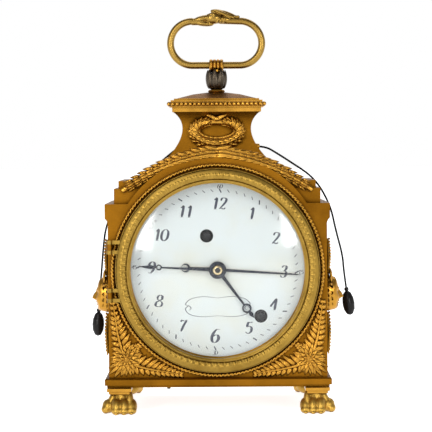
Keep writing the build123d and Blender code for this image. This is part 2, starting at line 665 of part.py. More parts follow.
# Cap, lid, bud and collar above the neck
with BuildPart() as cap:
    with BuildSketch(Plane.XY.offset(NECK_TOP_Z)):
        Rectangle(2 * CAP_HALF[0], 2 * CAP_HALF[1])
    extrude(amount=2.4)
    with BuildSketch(Plane.XY.offset(NECK_TOP_Z + 2.4)):
        Rectangle(2 * CAP_HALF[0] + 1.6, 2 * CAP_HALF[1] + 1.6)
    extrude(amount=4.0)
    with BuildSketch(Plane.XY.offset(NECK_TOP_Z + 6.4)):
        Rectangle(2 * CAP_HALF[0] - 2.0, 2 * CAP_HALF[1] - 2.0)
    extrude(amount=0.9)
    # Beads on all four sides, each a low four-sided stud
    for turn, half, count in ((0, CAP_HALF[1] + 0.8, 21), (180, CAP_HALF[1] + 0.8, 21),
                              (90, CAP_HALF[0] + 0.8, 17), (270, CAP_HALF[0] + 0.8, 17)):
        side = Plane(origin=(half * sin(radians(turn)), -half * cos(radians(turn)), BEAD_ROW_Z),
                     x_dir=(cos(radians(turn)), sin(radians(turn)), 0),
                     z_dir=(sin(radians(turn)), -cos(radians(turn)), 0))
        with BuildSketch(side):
            with GridLocations(BEAD_PITCH, 1, count, 1):
                Rectangle(1.6, 1.6, rotation=45)
        extrude(amount=1.1)
save(cap.part, "cap")

with BuildPart() as lid:
    with BuildSketch(Plane.XY.offset(170.7)):
        Rectangle(44.0, 35.0)
    with BuildSketch(Plane.XY.offset(173.2)):
        Rectangle(26.0, 20.0)
    with BuildSketch(Plane.XY.offset(174.4)):
        Rectangle(10.0, 9.0)
    loft(ruled=True)
save(lid.part, "lid")


def turned_on_top(points):
    """Piece turned about the clock's upright axis from its outline."""
    with BuildPart() as turned:
        with BuildSketch(Plane.XZ):
            with BuildLine():
                Polyline(*points, close=True)
            make_face()
        revolve(axis=Axis.Z)
    return turned.part


save(turned_on_top([(0, 174.4), (4.4, 174.4), (4.8, 175.2), (4.2, 176.0), (0, 176.0)]), "finial_ring")

with BuildPart() as bud_finial:
    add(turned_on_top([(0, 176.0), (3.4, 176.0), (5.6, 178.2), (6.2, 181.0), (5.2, 184.0), (2.8, 186.2), (0, 186.2)]))
    with BuildSketch(Plane.XZ) as petal:
        with BuildLine():
            Polyline((4.6, 177.6), (6.7, 181.2), (5.4, 183.8), (4.4, 180.8), close=True)
        make_face()
    leaf = extrude(petal.sketch, amount=1.2, both=True, mode=Mode.PRIVATE)
    with PolarLocations(0, 8):
        add(leaf)
save(bud_finial.part, "bud_finial")

HANDLE_AXIS = Axis((0, 0, HANDLE_Z), (1, 0, 0))
with BuildPart() as handle_collar:
    with BuildSketch(Plane.XZ.offset(0)):
        with BuildLine():
            ribs = [(-3.9, HANDLE_Z + HANDLE_R + RUNNING)]
            for rib in range(4):
                left = -3.9 + rib * 1.95
                ribs += [(left, HANDLE_Z + 2.8), (left + 0.55, HANDLE_Z + 3.4), (left + 1.4, HANDLE_Z + 3.4)]
            ribs += [(3.9, HANDLE_Z + 2.8), (3.9, HANDLE_Z + HANDLE_R + RUNNING)]
            Polyline(*ribs, close=True)
        make_face()
    revolve(axis=HANDLE_AXIS)
    with BuildSketch(Plane.XY.offset(186.2)):
        Circle(2.4)
    extrude(amount=1.0)
save(handle_collar.part, "handle_collar")

# Handle: a serpent bent into a long loop, its head at the top biting the other end
BEND_R = HANDLE_RISE / 2
STRAIGHT = HANDLE_HALF_WIDTH - BEND_R
with BuildPart() as serpent_handle:
    with BuildLine(Plane.XZ) as loop:
        top = HANDLE_Z + HANDLE_RISE
        Line((-7.0, top - 0.6), (-STRAIGHT, top - 0.3))
        ThreePointArc((-STRAIGHT, top - 0.3), (-HANDLE_HALF_WIDTH, HANDLE_Z + BEND_R), (-STRAIGHT, HANDLE_Z))
        Line((-STRAIGHT, HANDLE_Z), (STRAIGHT, HANDLE_Z))
        ThreePointArc((STRAIGHT, HANDLE_Z), (HANDLE_HALF_WIDTH, HANDLE_Z + BEND_R), (STRAIGHT, top))
        Line((STRAIGHT, top), (2.0, top))
    for edge in loop.edges():
        with BuildSketch(Plane(origin=edge @ 0, x_dir=(0, 1, 0), z_dir=edge % 0)):
            RegularPolygon(HANDLE_R, 12)
        sweep(path=edge)
    # Head with brow and jaws, then the crest swept back to the right
    for x, z, wide, high in ((4.6, 0.2, 4.2, 4.2), (-1.0, 1.6, 7.0, 6.4), (-6.5, 0.4, 6.4, 5.2), (-11.0, -0.4, 4.4, 4.2)):
        with BuildSketch(Plane(origin=(x, 0, HANDLE_Z + HANDLE_RISE + z), x_dir=(0, 1, 0), z_dir=(-1, 0, 0))):
            RegularPolygon(1, 8, rotation=22.5)
            scale(by=(wide / 1.9, high / 1.9, 1))
    loft(ruled=True)
    with BuildSketch(Plane.XZ.offset(-0.7)):
        with BuildLine():
            Polyline((-1.0, HANDLE_Z + 28.4), (0.5, HANDLE_Z + 32.0), (7.0, HANDLE_Z + 30.0),
                     (13.0, HANDLE_Z + 27.2), (5.0, HANDLE_Z + 26.0), close=True)
        make_face()
    extrude(amount=1.4)
save(serpent_handle.part, "serpent_handle")

# Gilt mounts laid on the case


def leaf_face(length, width):
    """One pointed leaf along x from its stalk, as a flat face."""
    with BuildSketch() as leaf:
        with BuildLine():
            Polyline((0, 0), (length * 0.35, width / 2), (length * 0.75, width * 0.36), (length, 0),
                     (length * 0.75, -width * 0.36), (length * 0.35, -width / 2), close=True)
        make_face()
    return leaf.sketch


def branch(plane, path, count, length, width, thick, stem):
    """Stem along a path of points with pairs of leaves leaning forward from it."""
    leaf = leaf_face(length, width)
    with BuildPart() as spray:
        with BuildSketch(plane):
            for index in range(count):
                here, ahead = path(index / count), path((index + 1) / count)
                heading = degrees(atan2(ahead[1] - here[1], ahead[0] - here[0]))
                with BuildLine():
                    side = (-sin(radians(heading)) * stem / 2, cos(radians(heading)) * stem / 2)
                    Polyline((here[0] + side[0], here[1] + side[1]), (ahead[0] + side[0], ahead[1] + side[1]),
                             (ahead[0] - side[0], ahead[1] - side[1]), (here[0] - side[0], here[1] - side[1]),
                             close=True)
                make_face()
                for lean in (-32, 32):
                    with Locations(Location((here[0], here[1], 0), heading + lean)):
                        add(leaf)
        extrude(amount=thick)
    return spray.part


ARCH_BRANCH_R = 95.7
ARCH_TOP_Z = 139.6


def arch_path(side):
    """Point on the laurel's line over the front arch, from the middle outwards."""
    def path(share):
        x = 1.5 + share * 47.0
        return (side * x, ARCH_TOP_Z - ARCH_BRANCH_R + sqrt(ARCH_BRANCH_R ** 2 - x ** 2))
    return path


for name, side in (("laurel_left", -1), ("laurel_right", 1)):
    with BuildPart() as laurel:
        add(branch(facing(-31.0), arch_path(side), 10, 6.4, 2.6, 2.6, 1.8))
        with BuildSketch(facing(-31.0)):
            with Locations((side * 27.0, 131.0)):
                Rectangle(48.0, 12.5)
            with Locations((0, ARCH_TOP_Z - ARCH_BRANCH_R)):
                Circle(ARCH_BRANCH_R, mode=Mode.INTERSECT)
            with Locations((0, DIAL_Z)):
                Circle(DRUM_R + 3.6, mode=Mode.SUBTRACT)
        extrude(amount=1.0)
    save((laurel.part - case.part).solids().sort_by(SortBy.VOLUME)[-1], name)



def wreath_path(share):
    """Open laurel oval on the neck, from the knot at the top down to the gap at the bottom."""
    turn = radians(90 + 160 * share)
    return (12.6 * cos(turn), 152.4 + 7.4 * sin(turn))


def mirrored_path(path):
    return lambda share: (-path(share)[0], path(share)[1])


WREATH_Y = -15.2
with BuildPart() as neck_wreath:
    for path in (wreath_path, mirrored_path(wreath_path)):
        add(branch(facing(WREATH_Y), path, 9, 3.6, 1.7, 3.4, 1.6))
    with BuildSketch(facing(WREATH_Y)):
        with Locations((0, 160.2)):
            Rectangle(6.0, 2.2)
    extrude(amount=4.2)
save(neck_wreath.part - case.part, "neck_wreath")


def corner_mount(side):
    """Acanthus filling a lower corner of the front, with a sunflower boss."""
    with BuildPart() as mount:
        with BuildSketch(facing(FRONT_Y)):
            with Locations((side * 38.6, 38.2)):
                Rectangle(38.4, 35.6)
            with Locations((0, DIAL_Z)):
                Circle(ROPE_R + 2.4, mode=Mode.SUBTRACT)
        extrude(amount=0.9)
        for reach, start, end in ((15.0, 96, 178), (24.0, 104, 170)):
            for index in range(4):
                turn = start + (end - start) * index / 3
                if side > 0:
                    here = (49.4 + 5 * cos(radians(turn)), 29.2 + 5 * sin(radians(turn)))
                else:
                    here = (-49.4 - 5 * cos(radians(turn)), 29.2 + 5 * sin(radians(turn)))
                heading = turn if side > 0 else 180 - turn
                with BuildSketch(facing(FRONT_Y - 0.9)):
                    with Locations(Location((here[0], here[1], 0), heading)):
                        add(leaf_face(reach * 0.62, 4.0))
                    with Locations((side * 38.6, 38.2)):
                        Rectangle(38.4, 35.6, mode=Mode.INTERSECT)
                    with Locations((0, DIAL_Z)):
                        Circle(ROPE_R + 2.4, mode=Mode.SUBTRACT)
                extrude(amount=0.8)
        with BuildSketch(facing(FRONT_Y - 0.8)):
            with Locations((side * 49.4, 29.2)):
                Circle(5.0)
                with PolarLocations(4.8, 12):
                    RegularPolygon(1.7, 4)
        extrude(amount=1.2)
        with BuildSketch(facing(FRONT_Y - 2.0)):
            with Locations((side * 49.4, 29.2)):
                Circle(2.6)
        extrude(amount=1.2, taper=25)
    return mount.part


save(corner_mount(-1), "corner_mount_left")
save(corner_mount(1), "corner_mount_right")


def oval(half_width, half_height, middle, sides=12):
    """Corners of an upright oval with flat sides, for a face that needs no finer curve."""
    turns = [2 * pi * index / sides for index in range(sides)]
    return [(half_width * cos(turn), middle + half_height * sin(turn)) for turn in turns]


def side_mount(side):
    """Mask between two hanging garlands on a side wall. Local x is depth and local y is height."""
    wall = sideways(side * WAIST_HALF[0], side)
    with BuildPart() as mount:
        # Rayed hair, cheeks, brow and nose in stacked lofts
        with BuildSketch(wall):
            with Locations((0, 62.2)):
                RegularPolygon(11.4, 14, major_radius=True)
        with BuildSketch(wall.offset(4.0)):
            with Locations((0, 62.2)):
                RegularPolygon(10.2, 14, major_radius=True)
        loft()
        with BuildSketch(wall.offset(4.0)):
            Polygon(*oval(7.2, 9.6, 61.8), align=None)
        with BuildSketch(wall.offset(9.4)):
            Polygon(*oval(4.4, 6.6, 62.0), align=None)
        loft()
        with BuildSketch(Plane(origin=(0, -1.3, 0), x_dir=(1, 0, 0), z_dir=(0, -1, 0))) as nose:
            with BuildLine():
                Polyline((side * (WAIST_HALF[0] + 8.6), 66.6), (side * (WAIST_HALF[0] + 11.4), 60.4),
                         (side * (WAIST_HALF[0] + 9.0), 59.6), (side * (WAIST_HALF[0] + 6.0), 62.0), close=True)
            make_face()
        extrude(nose.sketch, amount=-2.6)
        for low, high, steps in ((72.4, 91.6, 6), (32.4, 52.0, 6)):
            for index in range(steps):
                middle = low + (high - low) * (index + 0.5) / steps
                swell = 1.0 - 0.45 * abs(2 * (index + 0.5) / steps - 1)
                with BuildSketch(wall):
                    with Locations((0, middle)):
                        RegularPolygon(5.6 * swell, 8, rotation=22.5)
                extrude(amount=2.4 * swell)
    return mount.part


save(side_mount(-1), "side_mount_left")
save(side_mount(1), "side_mount_right")

# Cords. Each tube is straight runs joined by arcs as large as the runs allow.
RIGHT_ROUTE = [(24.0, 9.6, 144.2), (28.0, 10.0, 143.9), (33.2, 10.9, 140.9), (41.8, 12.2, 135.4),
               (55.6, 13.0, 126.2), (64.4, 13.4, 111.0), (67.6, 13.5, 96.0), (71.4, 13.6, 82.0),
               (72.0, 13.7, 73.0), (73.4, 13.8, 63.4)]
LEFT_ROUTE = [(-15.0, 17.6, 146.4), (-18.0, 20.4, 146.0), (-23.0, 25.4, 143.4), (-33.6, 33.6, 134.8),
              (-47.0, 37.4, 124.4), (-58.6, 38.2, 112.6), (-65.0, 34.6, 98.6), (-66.6, 32.6, 84.0),
              (-67.6, 31.6, 70.0), (-68.8, 31.2, 60.4), (-69.2, 31.0, 50.6)]


def cord_tube(route, name):
    """Round tube along a route. Prints its radii and compares its volume with section times length."""
    points = [Vector(*point) for point in route]
    runs = [(points[i + 1] - points[i]).length for i in range(len(points) - 1)]
    radii = []
    for i in range(1, len(points) - 1):
        half_turn = (points[i] - points[i - 1]).get_angle(points[i + 1] - points[i]) / 2
        radii.append(0.45 * min(runs[i - 1], runs[i]) / tan(radians(half_turn)))
    with BuildPart() as tube_part:
        with BuildLine() as line:
            FilletPolyline(*points, radius=radii)
        with BuildSketch(Plane(origin=line.line @ 0, z_dir=line.line % 0)):
            RegularPolygon(CORD_D / 2, 8)
        sweep()
    length = line.wires()[0].length
    section = 2 * sqrt(2) * (CORD_D / 2) ** 2
    print(f"{name}: radii {[round(radius, 1) for radius in radii]}, length {length:.1f} mm,"
          f" volume over section x length {tube_part.part.volume / (section * length):.4f}")
    return tube_part.part, line.line


def eyelet(point, direction):
    """Small turned ring that a cord comes out of, seated on the neck."""
    outwards = Vector(*direction).normalized()
    with BuildPart() as ring:
        with BuildSketch(Plane(origin=Vector(*point) - outwards * 3.2, z_dir=outwards)):
            Circle(1.6)
        extrude(amount=3.2)
    return ring.part


def pull(top, toward):
    """Olive pull on a cord's end, turned about the line of the last run."""
    down = (Vector(*toward) - Vector(*top)).normalized()
    with BuildPart() as olive:
        across = down.cross(Vector(0, 1, 0)).normalized()
        with BuildSketch(Plane(origin=Vector(*top), x_dir=across, z_dir=across.cross(down))):
            with BuildLine():
                Polyline((0, 0), (1.1, 0), (1.3, 1.2), (0.9, 2.0), (2.2, 3.2), (3.2, 6.0), (PULL_R, 9.2),
                         (3.1, 12.6), (1.8, 15.2), (0, PULL_LENGTH), close=True)
            make_face()
        revolve(axis=Axis(Vector(*top), down))
    return olive.part


for side, route, way in (("right", RIGHT_ROUTE, (1, 0.07, -0.1)), ("left", LEFT_ROUTE, (-0.73, 0.68, -0.1))):
    tube_solid, line = cord_tube(route, f"cord_{side}")
    save(tube_solid, f"cord_{side}")
    start = Vector(*route[0])
    save(eyelet(route[0], tuple(Vector(*route[1]) - start)) - case.part, f"eyelet_{side}")
    last, before = Vector(*route[-1]), Vector(*route[-2])
    save(pull(route[-1], tuple(last + (last - before))), f"pull_{side}")
print("all parts made")
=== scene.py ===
# %% [markdown]
# An officer's clock in gilt bronze: a small travelling clock with hollow shoulders, a serpent handle
# and paw feet. The frame's solids give its main shapes. This lesson adds the finishes, the chased
# mounts, the dial, the cords and the light.
#
# The frame is loaded first, so that each piece can be laid on the solid it belongs to. Blender works
# in metres here, on the frame's own axes: +X right, -Y front, +Z up. The design is drawn in
# millimetres, as a maker would, and MM turns them into metres when a mesh is made.

# %% Frame and sizes
import json
import math
import random

import bpy
import numpy as np
from mathutils import Matrix, Vector


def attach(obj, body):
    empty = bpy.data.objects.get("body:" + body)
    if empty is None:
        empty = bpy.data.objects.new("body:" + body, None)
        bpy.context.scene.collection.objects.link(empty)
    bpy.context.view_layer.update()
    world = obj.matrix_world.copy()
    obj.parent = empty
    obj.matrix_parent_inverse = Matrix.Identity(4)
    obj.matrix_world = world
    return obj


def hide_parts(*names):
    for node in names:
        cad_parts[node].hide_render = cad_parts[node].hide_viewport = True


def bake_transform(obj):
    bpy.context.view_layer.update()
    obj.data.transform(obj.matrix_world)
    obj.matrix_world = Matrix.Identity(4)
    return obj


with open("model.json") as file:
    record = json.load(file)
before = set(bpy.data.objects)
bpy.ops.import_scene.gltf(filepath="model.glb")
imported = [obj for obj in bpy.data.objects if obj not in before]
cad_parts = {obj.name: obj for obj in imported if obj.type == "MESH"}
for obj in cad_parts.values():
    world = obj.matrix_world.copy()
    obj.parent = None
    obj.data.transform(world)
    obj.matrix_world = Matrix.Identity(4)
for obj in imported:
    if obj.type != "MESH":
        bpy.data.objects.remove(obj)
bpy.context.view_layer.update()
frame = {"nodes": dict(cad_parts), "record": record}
MM = 0.001
DIAL_Z = 77.3         # height of the dial's centre
DIAL_FRONT = -31.0    # face of the enamel
FRONT = -36.0         # face of the case round the door
FULL_TURN = 2 * math.pi
rng = random.Random(7)

# %% [markdown]
# A finish is a small tree of shader nodes. It could be clicked together by hand for each metal, but
# the same few steps come back every time. Two helpers keep them short: one makes a node with its
# values set by name, the other makes a colour ramp from a list of stops.

# %% Nodes and colour ramps
def node(tree, kind, **values):
    """New node with its input sockets, by name, or its properties set."""
    made = tree.nodes.new(kind)
    for key, value in values.items():
        if key in made.inputs:
            made.inputs[key].default_value = value
        else:
            setattr(made, key, value)
    return made


def ramp(tree, source, stops):
    """Colour ramp from a value, with its stops as (position, colour)."""
    made = tree.nodes.new("ShaderNodeValToRGB")
    made.color_ramp.elements[0].position, made.color_ramp.elements[0].color = stops[0]
    made.color_ramp.elements[1].position, made.color_ramp.elements[1].color = stops[-1]
    for position, colour in stops[1:-1]:
        made.color_ramp.elements.new(position).color = colour
    tree.links.new(source, made.inputs["Fac"])
    return made.outputs["Color"]


print("node helpers ready")

# %% [markdown]
# Fire gilding is never one flat tone. The gold took unevenly and hands have worn it. A picture laid
# over the mesh could show that, but it would fit one mesh only. Noise in the object's own space and
# occlusion work on every piece alike, so each finish is made of four layers: blotches of tone,
# painted shade in the hollows, uneven gloss and a fine grain.

# %% Layers of a worn finish
DULL_TINT = (1.0, 0.94, 0.82)     # the darker blotches are browner
PAINTED_SHADE_TINT = (1.0, 0.82, 0.62)     # and so is the painted shade in the hollows
WHITE = (1, 1, 1, 1)


def blotches(tree, cloud, base, spread):
    """Colour that drifts from a browner, darker tone to a lighter one."""
    low = tuple(channel * (1 - spread) * tint for channel, tint in zip(base, DULL_TINT)) + (1,)
    high = tuple(min(1.0, channel * (1 + spread)) for channel in base) + (1,)
    return ramp(tree, cloud.outputs["Fac"], [(0.3, low), (0.5, base + (1,)), (0.72, high)])


def hollow_shade(tree, dark, reach):
    """Painted shade, darker and browner, for places where surfaces close in on one another, within reach in
    millimetres.
    """
    hollow = node(tree, "ShaderNodeAmbientOcclusion", Distance=reach * MM, samples=6)
    # occlusion darkens the colour itself here: painted shade, tinted browner
    painted_shade = tuple(dark * tint for tint in PAINTED_SHADE_TINT) + (1,)
    return ramp(tree, hollow.outputs["AO"], [(0.25, painted_shade), (0.9, WHITE)])


def uneven_gloss(tree, cloud, roughness):
    """Roughness that follows the blotches, so that worn places shine more."""
    gloss = node(tree, "ShaderNodeMapRange")
    gloss.inputs["To Min"].default_value = roughness * 0.75
    gloss.inputs["To Max"].default_value = min(1.0, roughness * 1.35)
    tree.links.new(cloud.outputs["Fac"], gloss.inputs["Value"])
    return gloss.outputs["Result"]


print("worn layers ready; the dirt is", PAINTED_SHADE_TINT, "times its darkness")

# %% A worn finish
GRAIN = 900.0


def worn_finish(name, base, metallic, roughness, spots=60.0, spread=0.18, dark=0.35, bump=0.08, reach=1.6,
                coat=0.0):
    """Finish with blotches of tone, painted shade in its hollows, uneven gloss and a fine grain."""
    material = bpy.data.materials.new(name)
    material.use_nodes = True
    tree = material.node_tree
    shader = tree.nodes["Principled BSDF"]
    place = tree.nodes.new("ShaderNodeTexCoord")
    cloud = node(tree, "ShaderNodeTexNoise", Scale=spots, Detail=6.0, Roughness=0.62)
    fine = node(tree, "ShaderNodeTexNoise", Scale=GRAIN, Detail=3.0, Roughness=0.5)
    for noise in (cloud, fine):
        tree.links.new(place.outputs["Object"], noise.inputs["Vector"])
    mixed = tree.nodes.new("ShaderNodeMix")
    mixed.data_type, mixed.blend_type = "RGBA", "MULTIPLY"
    mixed.inputs[0].default_value = 1.0
    tree.links.new(blotches(tree, cloud, base, spread), mixed.inputs[6])
    # the painted shade of the hollows multiplies the base colour
    tree.links.new(hollow_shade(tree, dark, reach), mixed.inputs[7])
    tree.links.new(mixed.outputs[2], shader.inputs["Base Color"])
    tree.links.new(uneven_gloss(tree, cloud, roughness), shader.inputs["Roughness"])
    relief = node(tree, "ShaderNodeBump", Strength=bump, Distance=0.3 * MM)
    tree.links.new(fine.outputs["Fac"], relief.inputs["Height"])
    tree.links.new(relief.outputs["Normal"], shader.inputs["Normal"])
    shader.inputs["Metallic"].default_value = metallic
    shader.inputs["Coat Weight"].default_value = coat
    shader.inputs["Coat Roughness"].default_value = 0.05
    return material


print("a worn finish takes a base colour, a metallic value and a roughness")

# %% [markdown]
# The watch glass has to show the dial clearly and still catch two soft windows of light. Real
# refraction would darken and shift the dial in a short render. So clear transparency is mixed with a
# little gloss, whose faint haze keeps the windows' edges soft.

# %% Clear glass
GLASS_SHINE = 0.024


def clear_glass(name):
    """Clear glass that lets light through to the dial and keeps a polished reflection."""
    material = bpy.data.materials.new(name)
    material.use_nodes = True
    tree = material.node_tree
    tree.nodes.remove(tree.nodes["Principled BSDF"])
    through = node(tree, "ShaderNodeBsdfTransparent", Color=(0.985, 0.995, 0.99, 1))
    place = tree.nodes.new("ShaderNodeTexCoord")
    haze = node(tree, "ShaderNodeTexNoise", Scale=35.0, Detail=5.0)
    tree.links.new(place.outputs["Object"], haze.inputs["Vector"])
    rough = node(tree, "ShaderNodeMapRange")
    rough.inputs["To Min"].default_value = 0.10
    rough.inputs["To Max"].default_value = 0.13
    tree.links.new(haze.outputs["Fac"], rough.inputs["Value"])
    shine = node(tree, "ShaderNodeBsdfAnisotropic", Color=WHITE)
    tree.links.new(rough.outputs["Result"], shine.inputs["Roughness"])
    both = node(tree, "ShaderNodeMixShader", Fac=GLASS_SHINE)
    tree.links.new(through.outputs[0], both.inputs[1])
    tree.links.new(shine.outputs[0], both.inputs[2])
    tree.links.new(both.outputs[0], tree.nodes["Material Output"].inputs["Surface"])
    return material


print("glass: a share of", GLASS_SHINE, "is gloss")

# %% [markdown]
# The case is satin gilt, its mounts are burnished brighter, and the door is a paler, greener gilt.
# The bud under the handle is dark bronze. One gold for all of them would be quicker, but the
# photograph tells them apart by tone, so each slot of the record gets its own finish.

# %% Gilt and bronze
finish = {}


def metal(name, base, roughness, **wear):
    """Keeps a metal finish under its name."""
    finish[name] = worn_finish(name, base, 1.0, roughness, **wear)


# dark sets how deep the painted shade in each finish's hollows goes
metal("gilt_satin", (0.190, 0.078, 0.0050), 0.40, spots=26, spread=0.36, dark=0.25, reach=3.0)
metal("gilt_bright", (0.43, 0.215, 0.030), 0.29, spots=70, spread=0.24, dark=0.17, bump=0.03)
metal("gilt_door", (0.275, 0.168, 0.031), 0.34, spots=90, spread=0.24, dark=0.2, bump=0.05)
metal("handle_gilt", (0.27, 0.165, 0.036), 0.30, spots=30, spread=0.16, dark=0.25, bump=0.01)
metal("paw_gilt", (0.48, 0.29, 0.055), 0.42, spots=50, spread=0.22, dark=0.42, bump=0.02)
metal("bronze_dark", (0.070, 0.056, 0.040), 0.33, spots=260, spread=0.5, dark=0.15)
print("gilt and bronze:", ", ".join(finish))

# %% Steel, brass and bell metal
metal("blued_steel", (0.010, 0.014, 0.024), 0.26, spots=200, spread=0.3, dark=0.6)
metal("steel", (0.028, 0.028, 0.031), 0.30, spots=150, spread=0.15, dark=0.35)
metal("movement_brass", (0.66, 0.46, 0.18), 0.33, spots=90, spread=0.1, dark=0.3)
metal("bell_metal", (0.60, 0.48, 0.28), 0.25, spots=60, spread=0.12, dark=0.5)
print("metals so far:", len(finish))

# %% [markdown]
# The rest isn't metal: enamel on copper, glass, ink, silk cord and ebonised pulls. The dull ones
# would pick up a grey sheen from the pale room, so their specular level is set low on the socket.
# The front plate is given a near-black finish as painted shade, since only the shaded depth of the winding
# holes shows it.

# %% Enamel, glass, ink and cord
# dark is again the depth of the painted shade in the hollows
finish["enamel"] = worn_finish("enamel", (0.74, 0.785, 0.80), 0.0, 0.12, spots=18, spread=0.02, dark=0.75,
                               bump=0.004, coat=0.6)
finish["watch_glass"] = clear_glass("watch_glass")
finish["ink"] = worn_finish("dial_ink", (0.02, 0.025, 0.055), 0.0, 0.3, spots=200, spread=0.2, dark=0.9,
                            bump=0.01)
finish["cord"] = worn_finish("cord", (0.006, 0.006, 0.006), 0.0, 0.75, spots=300, spread=0.3, dark=0.6,
                             bump=0.3)
finish["pull"] = worn_finish("pull", (0.011, 0.010, 0.010), 0.0, 0.30, spots=160, spread=0.4, dark=0.7,
                             coat=0.1)
# near-black plate: painted shade for the depth of the winding holes
plate_painted_shade = worn_finish("plate_painted_shade", (0.012, 0.010, 0.008), 0.0, 0.7, spots=90, spread=0.2, dark=0.5)
for dull in (plate_painted_shade, finish["pull"], finish["cord"]):
    dull.node_tree.nodes["Principled BSDF"].inputs["Specular IOR Level"].default_value = 0.12
print("finishes ready:", len(finish))

# %% Finishes on the frame
slot_of = {part["node"]: part["material_slot"] for part in frame["record"]["subparts"]}
for name, thing in frame["nodes"].items():
    thing.data.materials.clear()
    # the front plate takes the near-black painted-shade finish
    thing.data.materials.append(plate_painted_shade if name == "front_plate" else finish[slot_of[name]])
print(len(frame["nodes"]), "frame nodes finished from", len(set(slot_of.values())), "slots")

# %% [markdown]
# A chased mount is hundreds of small leaves and berries. Each could be an object of its own, but then
# the scene would be slow and hard to move with its body. A Pile gathers the points and faces of many
# small shapes, so that one mesh is made for each mount.

# %% A pile of small shapes
class Pile:
    """Points and faces of one piece, gathered in millimetres."""

    def __init__(self):
        self.points, self.faces, self.count = [], [], 0

    def grid(self, points, wrap=False, matrix=None):
        """Adds a rows x columns x 3 grid of points, its columns joined round if wrap is true."""
        rows, columns = points.shape[:2]
        flat = points.reshape(-1, 3)
        if matrix is not None:
            flat = flat @ np.array(matrix.to_3x3()).T + np.array(matrix.translation)
        self.points.append(flat)
        index = np.arange(rows * columns).reshape(rows, columns) + self.count
        right = np.roll(index, -1, axis=1) if wrap else index[:, 1:]
        left = index if wrap else index[:, :-1]
        quads = np.stack([left[:-1], right[:-1], right[1:], left[1:]], axis=-1).reshape(-1, 4)
        self.faces.append(quads)
        self.count += rows * columns

    def piece(self, name, slot, body, replaces=()):
        """Makes the mesh object, gives it its finish and rides it on a body."""
        mesh = bpy.data.meshes.new(name)
        points = np.concatenate(self.points) * MM
        faces = np.concatenate(self.faces)
        mesh.from_pydata(points.tolist(), [], faces.tolist())
        mesh.polygons.foreach_set("use_smooth", [True] * len(mesh.polygons))
        mesh.update()
        return dress(bpy.data.objects.new(name, mesh), slot, body, replaces)


print("a Pile takes grids of points and makes one mesh")

# %% Dressing a piece
def dress(thing, slot, body, replaces=()):
    """Links a new object, with its finish, its body and the frame nodes it stands for."""
    if thing.name not in bpy.context.scene.collection.objects:
        bpy.context.scene.collection.objects.link(thing)
    thing.data.materials.clear()
    thing.data.materials.append(finish[slot])
    if body:
        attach(thing, body)
    if replaces:
        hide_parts(*replaces)
    return thing


print("a piece is dressed with a slot, a body and the nodes it replaces")

# %% [markdown]
# A leaf is easiest to draw lying flat along +X, with its face up. It is then carried to the case by a
# matrix. Euler angles would have to be worked out for each wall, so the matrix is built from three
# directions instead: along the leaf, across it, and out of the wall.

# %% Laying shapes on the walls
def at(x, y, z):
    """Matrix that moves a shape to a place."""
    return Matrix.Translation((x, y, z))


def laid(place, along, side, out, tilt):
    """Matrix for a shape that lies along one direction and faces out, its tip lifted by a tilt."""
    t = math.radians(tilt)
    lifted, faced = along * math.cos(t) + out * math.sin(t), out * math.cos(t) - along * math.sin(t)
    return at(*place) @ Matrix((lifted, side, faced)).transposed().to_4x4()


def on_front(x, z, turn, depth=FRONT, tilt=0.0):
    """Lays a shape on the front, turned from the clock's +X."""
    a = math.radians(turn)
    along, side = Vector((math.cos(a), 0, math.sin(a))), Vector((-math.sin(a), 0, math.cos(a)))
    return laid((x, depth, z), along, side, Vector((0, -1, 0)), tilt)


def on_side(sign, y, z, turn, x, tilt=0.0):
    """Lays a shape on a side wall, turned from the right hand of someone who faces that wall."""
    a = math.radians(turn)
    along, out = Vector((0, sign * math.cos(a), math.sin(a))), Vector((sign, 0, 0))
    return laid((sign * x, y, z), along, out.cross(along), out, tilt)


print("front wall faces", tuple(on_front(0, 0, 0).to_3x3() @ Vector((0, 0, 1))))

# %% [markdown]
# Every leaf on the mounts is one chased shape: swollen, with a sunk midrib and a bent tip. It could
# be sculpted once and copied, but laurel, acanthus and petals differ in length, width and curl. A
# formula on a grid of points gives them all, and each copy can differ a little.

# %% A leaf
def leaf(length, width, height=0.8, curl=0.0, rows=18, columns=13):
    """Leaf along x with a sunk midrib. A curl below zero bends its tip towards the wall."""
    u = np.linspace(0, 1, rows)[:, None]
    v = np.linspace(-1, 1, columns)[None, :]
    half = width / 2 * np.sin(np.pi * u ** 0.75) ** 0.8 + 0.02
    swell = height * (1 - v ** 2) ** 0.6 * np.sin(np.pi * np.clip(u, 0.02, 0.99)) ** 0.5
    groove = -0.3 * height * np.exp(-(v / 0.14) ** 2)
    return np.stack([length * u + 0 * v, v * half, swell + groove + curl * u ** 2 + 0 * v], axis=-1)


print("a leaf has", leaf(10, 3).shape[0], "rows of", leaf(10, 3).shape[1], "points")

# %% Beads and turned rings
def ball(radius, stretch=(1, 1, 1), rings=9, around=14):
    """Bead or berry, closed at both poles."""
    lat = np.linspace(-math.pi / 2, math.pi / 2, rings)[:, None]
    lon = np.linspace(0, FULL_TURN, around, endpoint=False)[None, :]
    x = radius * stretch[0] * np.cos(lat) * np.cos(lon)
    y = radius * stretch[1] * np.cos(lat) * np.sin(lon)
    return np.stack([x, y, radius * stretch[2] * np.sin(lat) + 0 * lon], axis=-1)


def round_dial(theta, radius, y):
    """Points round the dial's axis from angles, radii and depths."""
    x, z = radius * np.cos(theta), DIAL_Z + radius * np.sin(theta)
    return np.stack(np.broadcast_arrays(x, y, z), axis=-1)


def round_angles(count, closed=True):
    """Column of angles once round, its last point on the first where the ring is closed."""
    return np.linspace(0, FULL_TURN, count, endpoint=closed)[:, None]


print("a bead has", ball(1.0).shape[0] * ball(1.0).shape[1], "points")

# %% [markdown]
# Stems, cords and the serpent are tubes. A Blender curve with a bevel would make them too, but it
# can't be plaited or thinned by formula. Here a frame is carried along the path from point to point,
# which keeps the tube from twisting, and a ring of points is set in each frame.

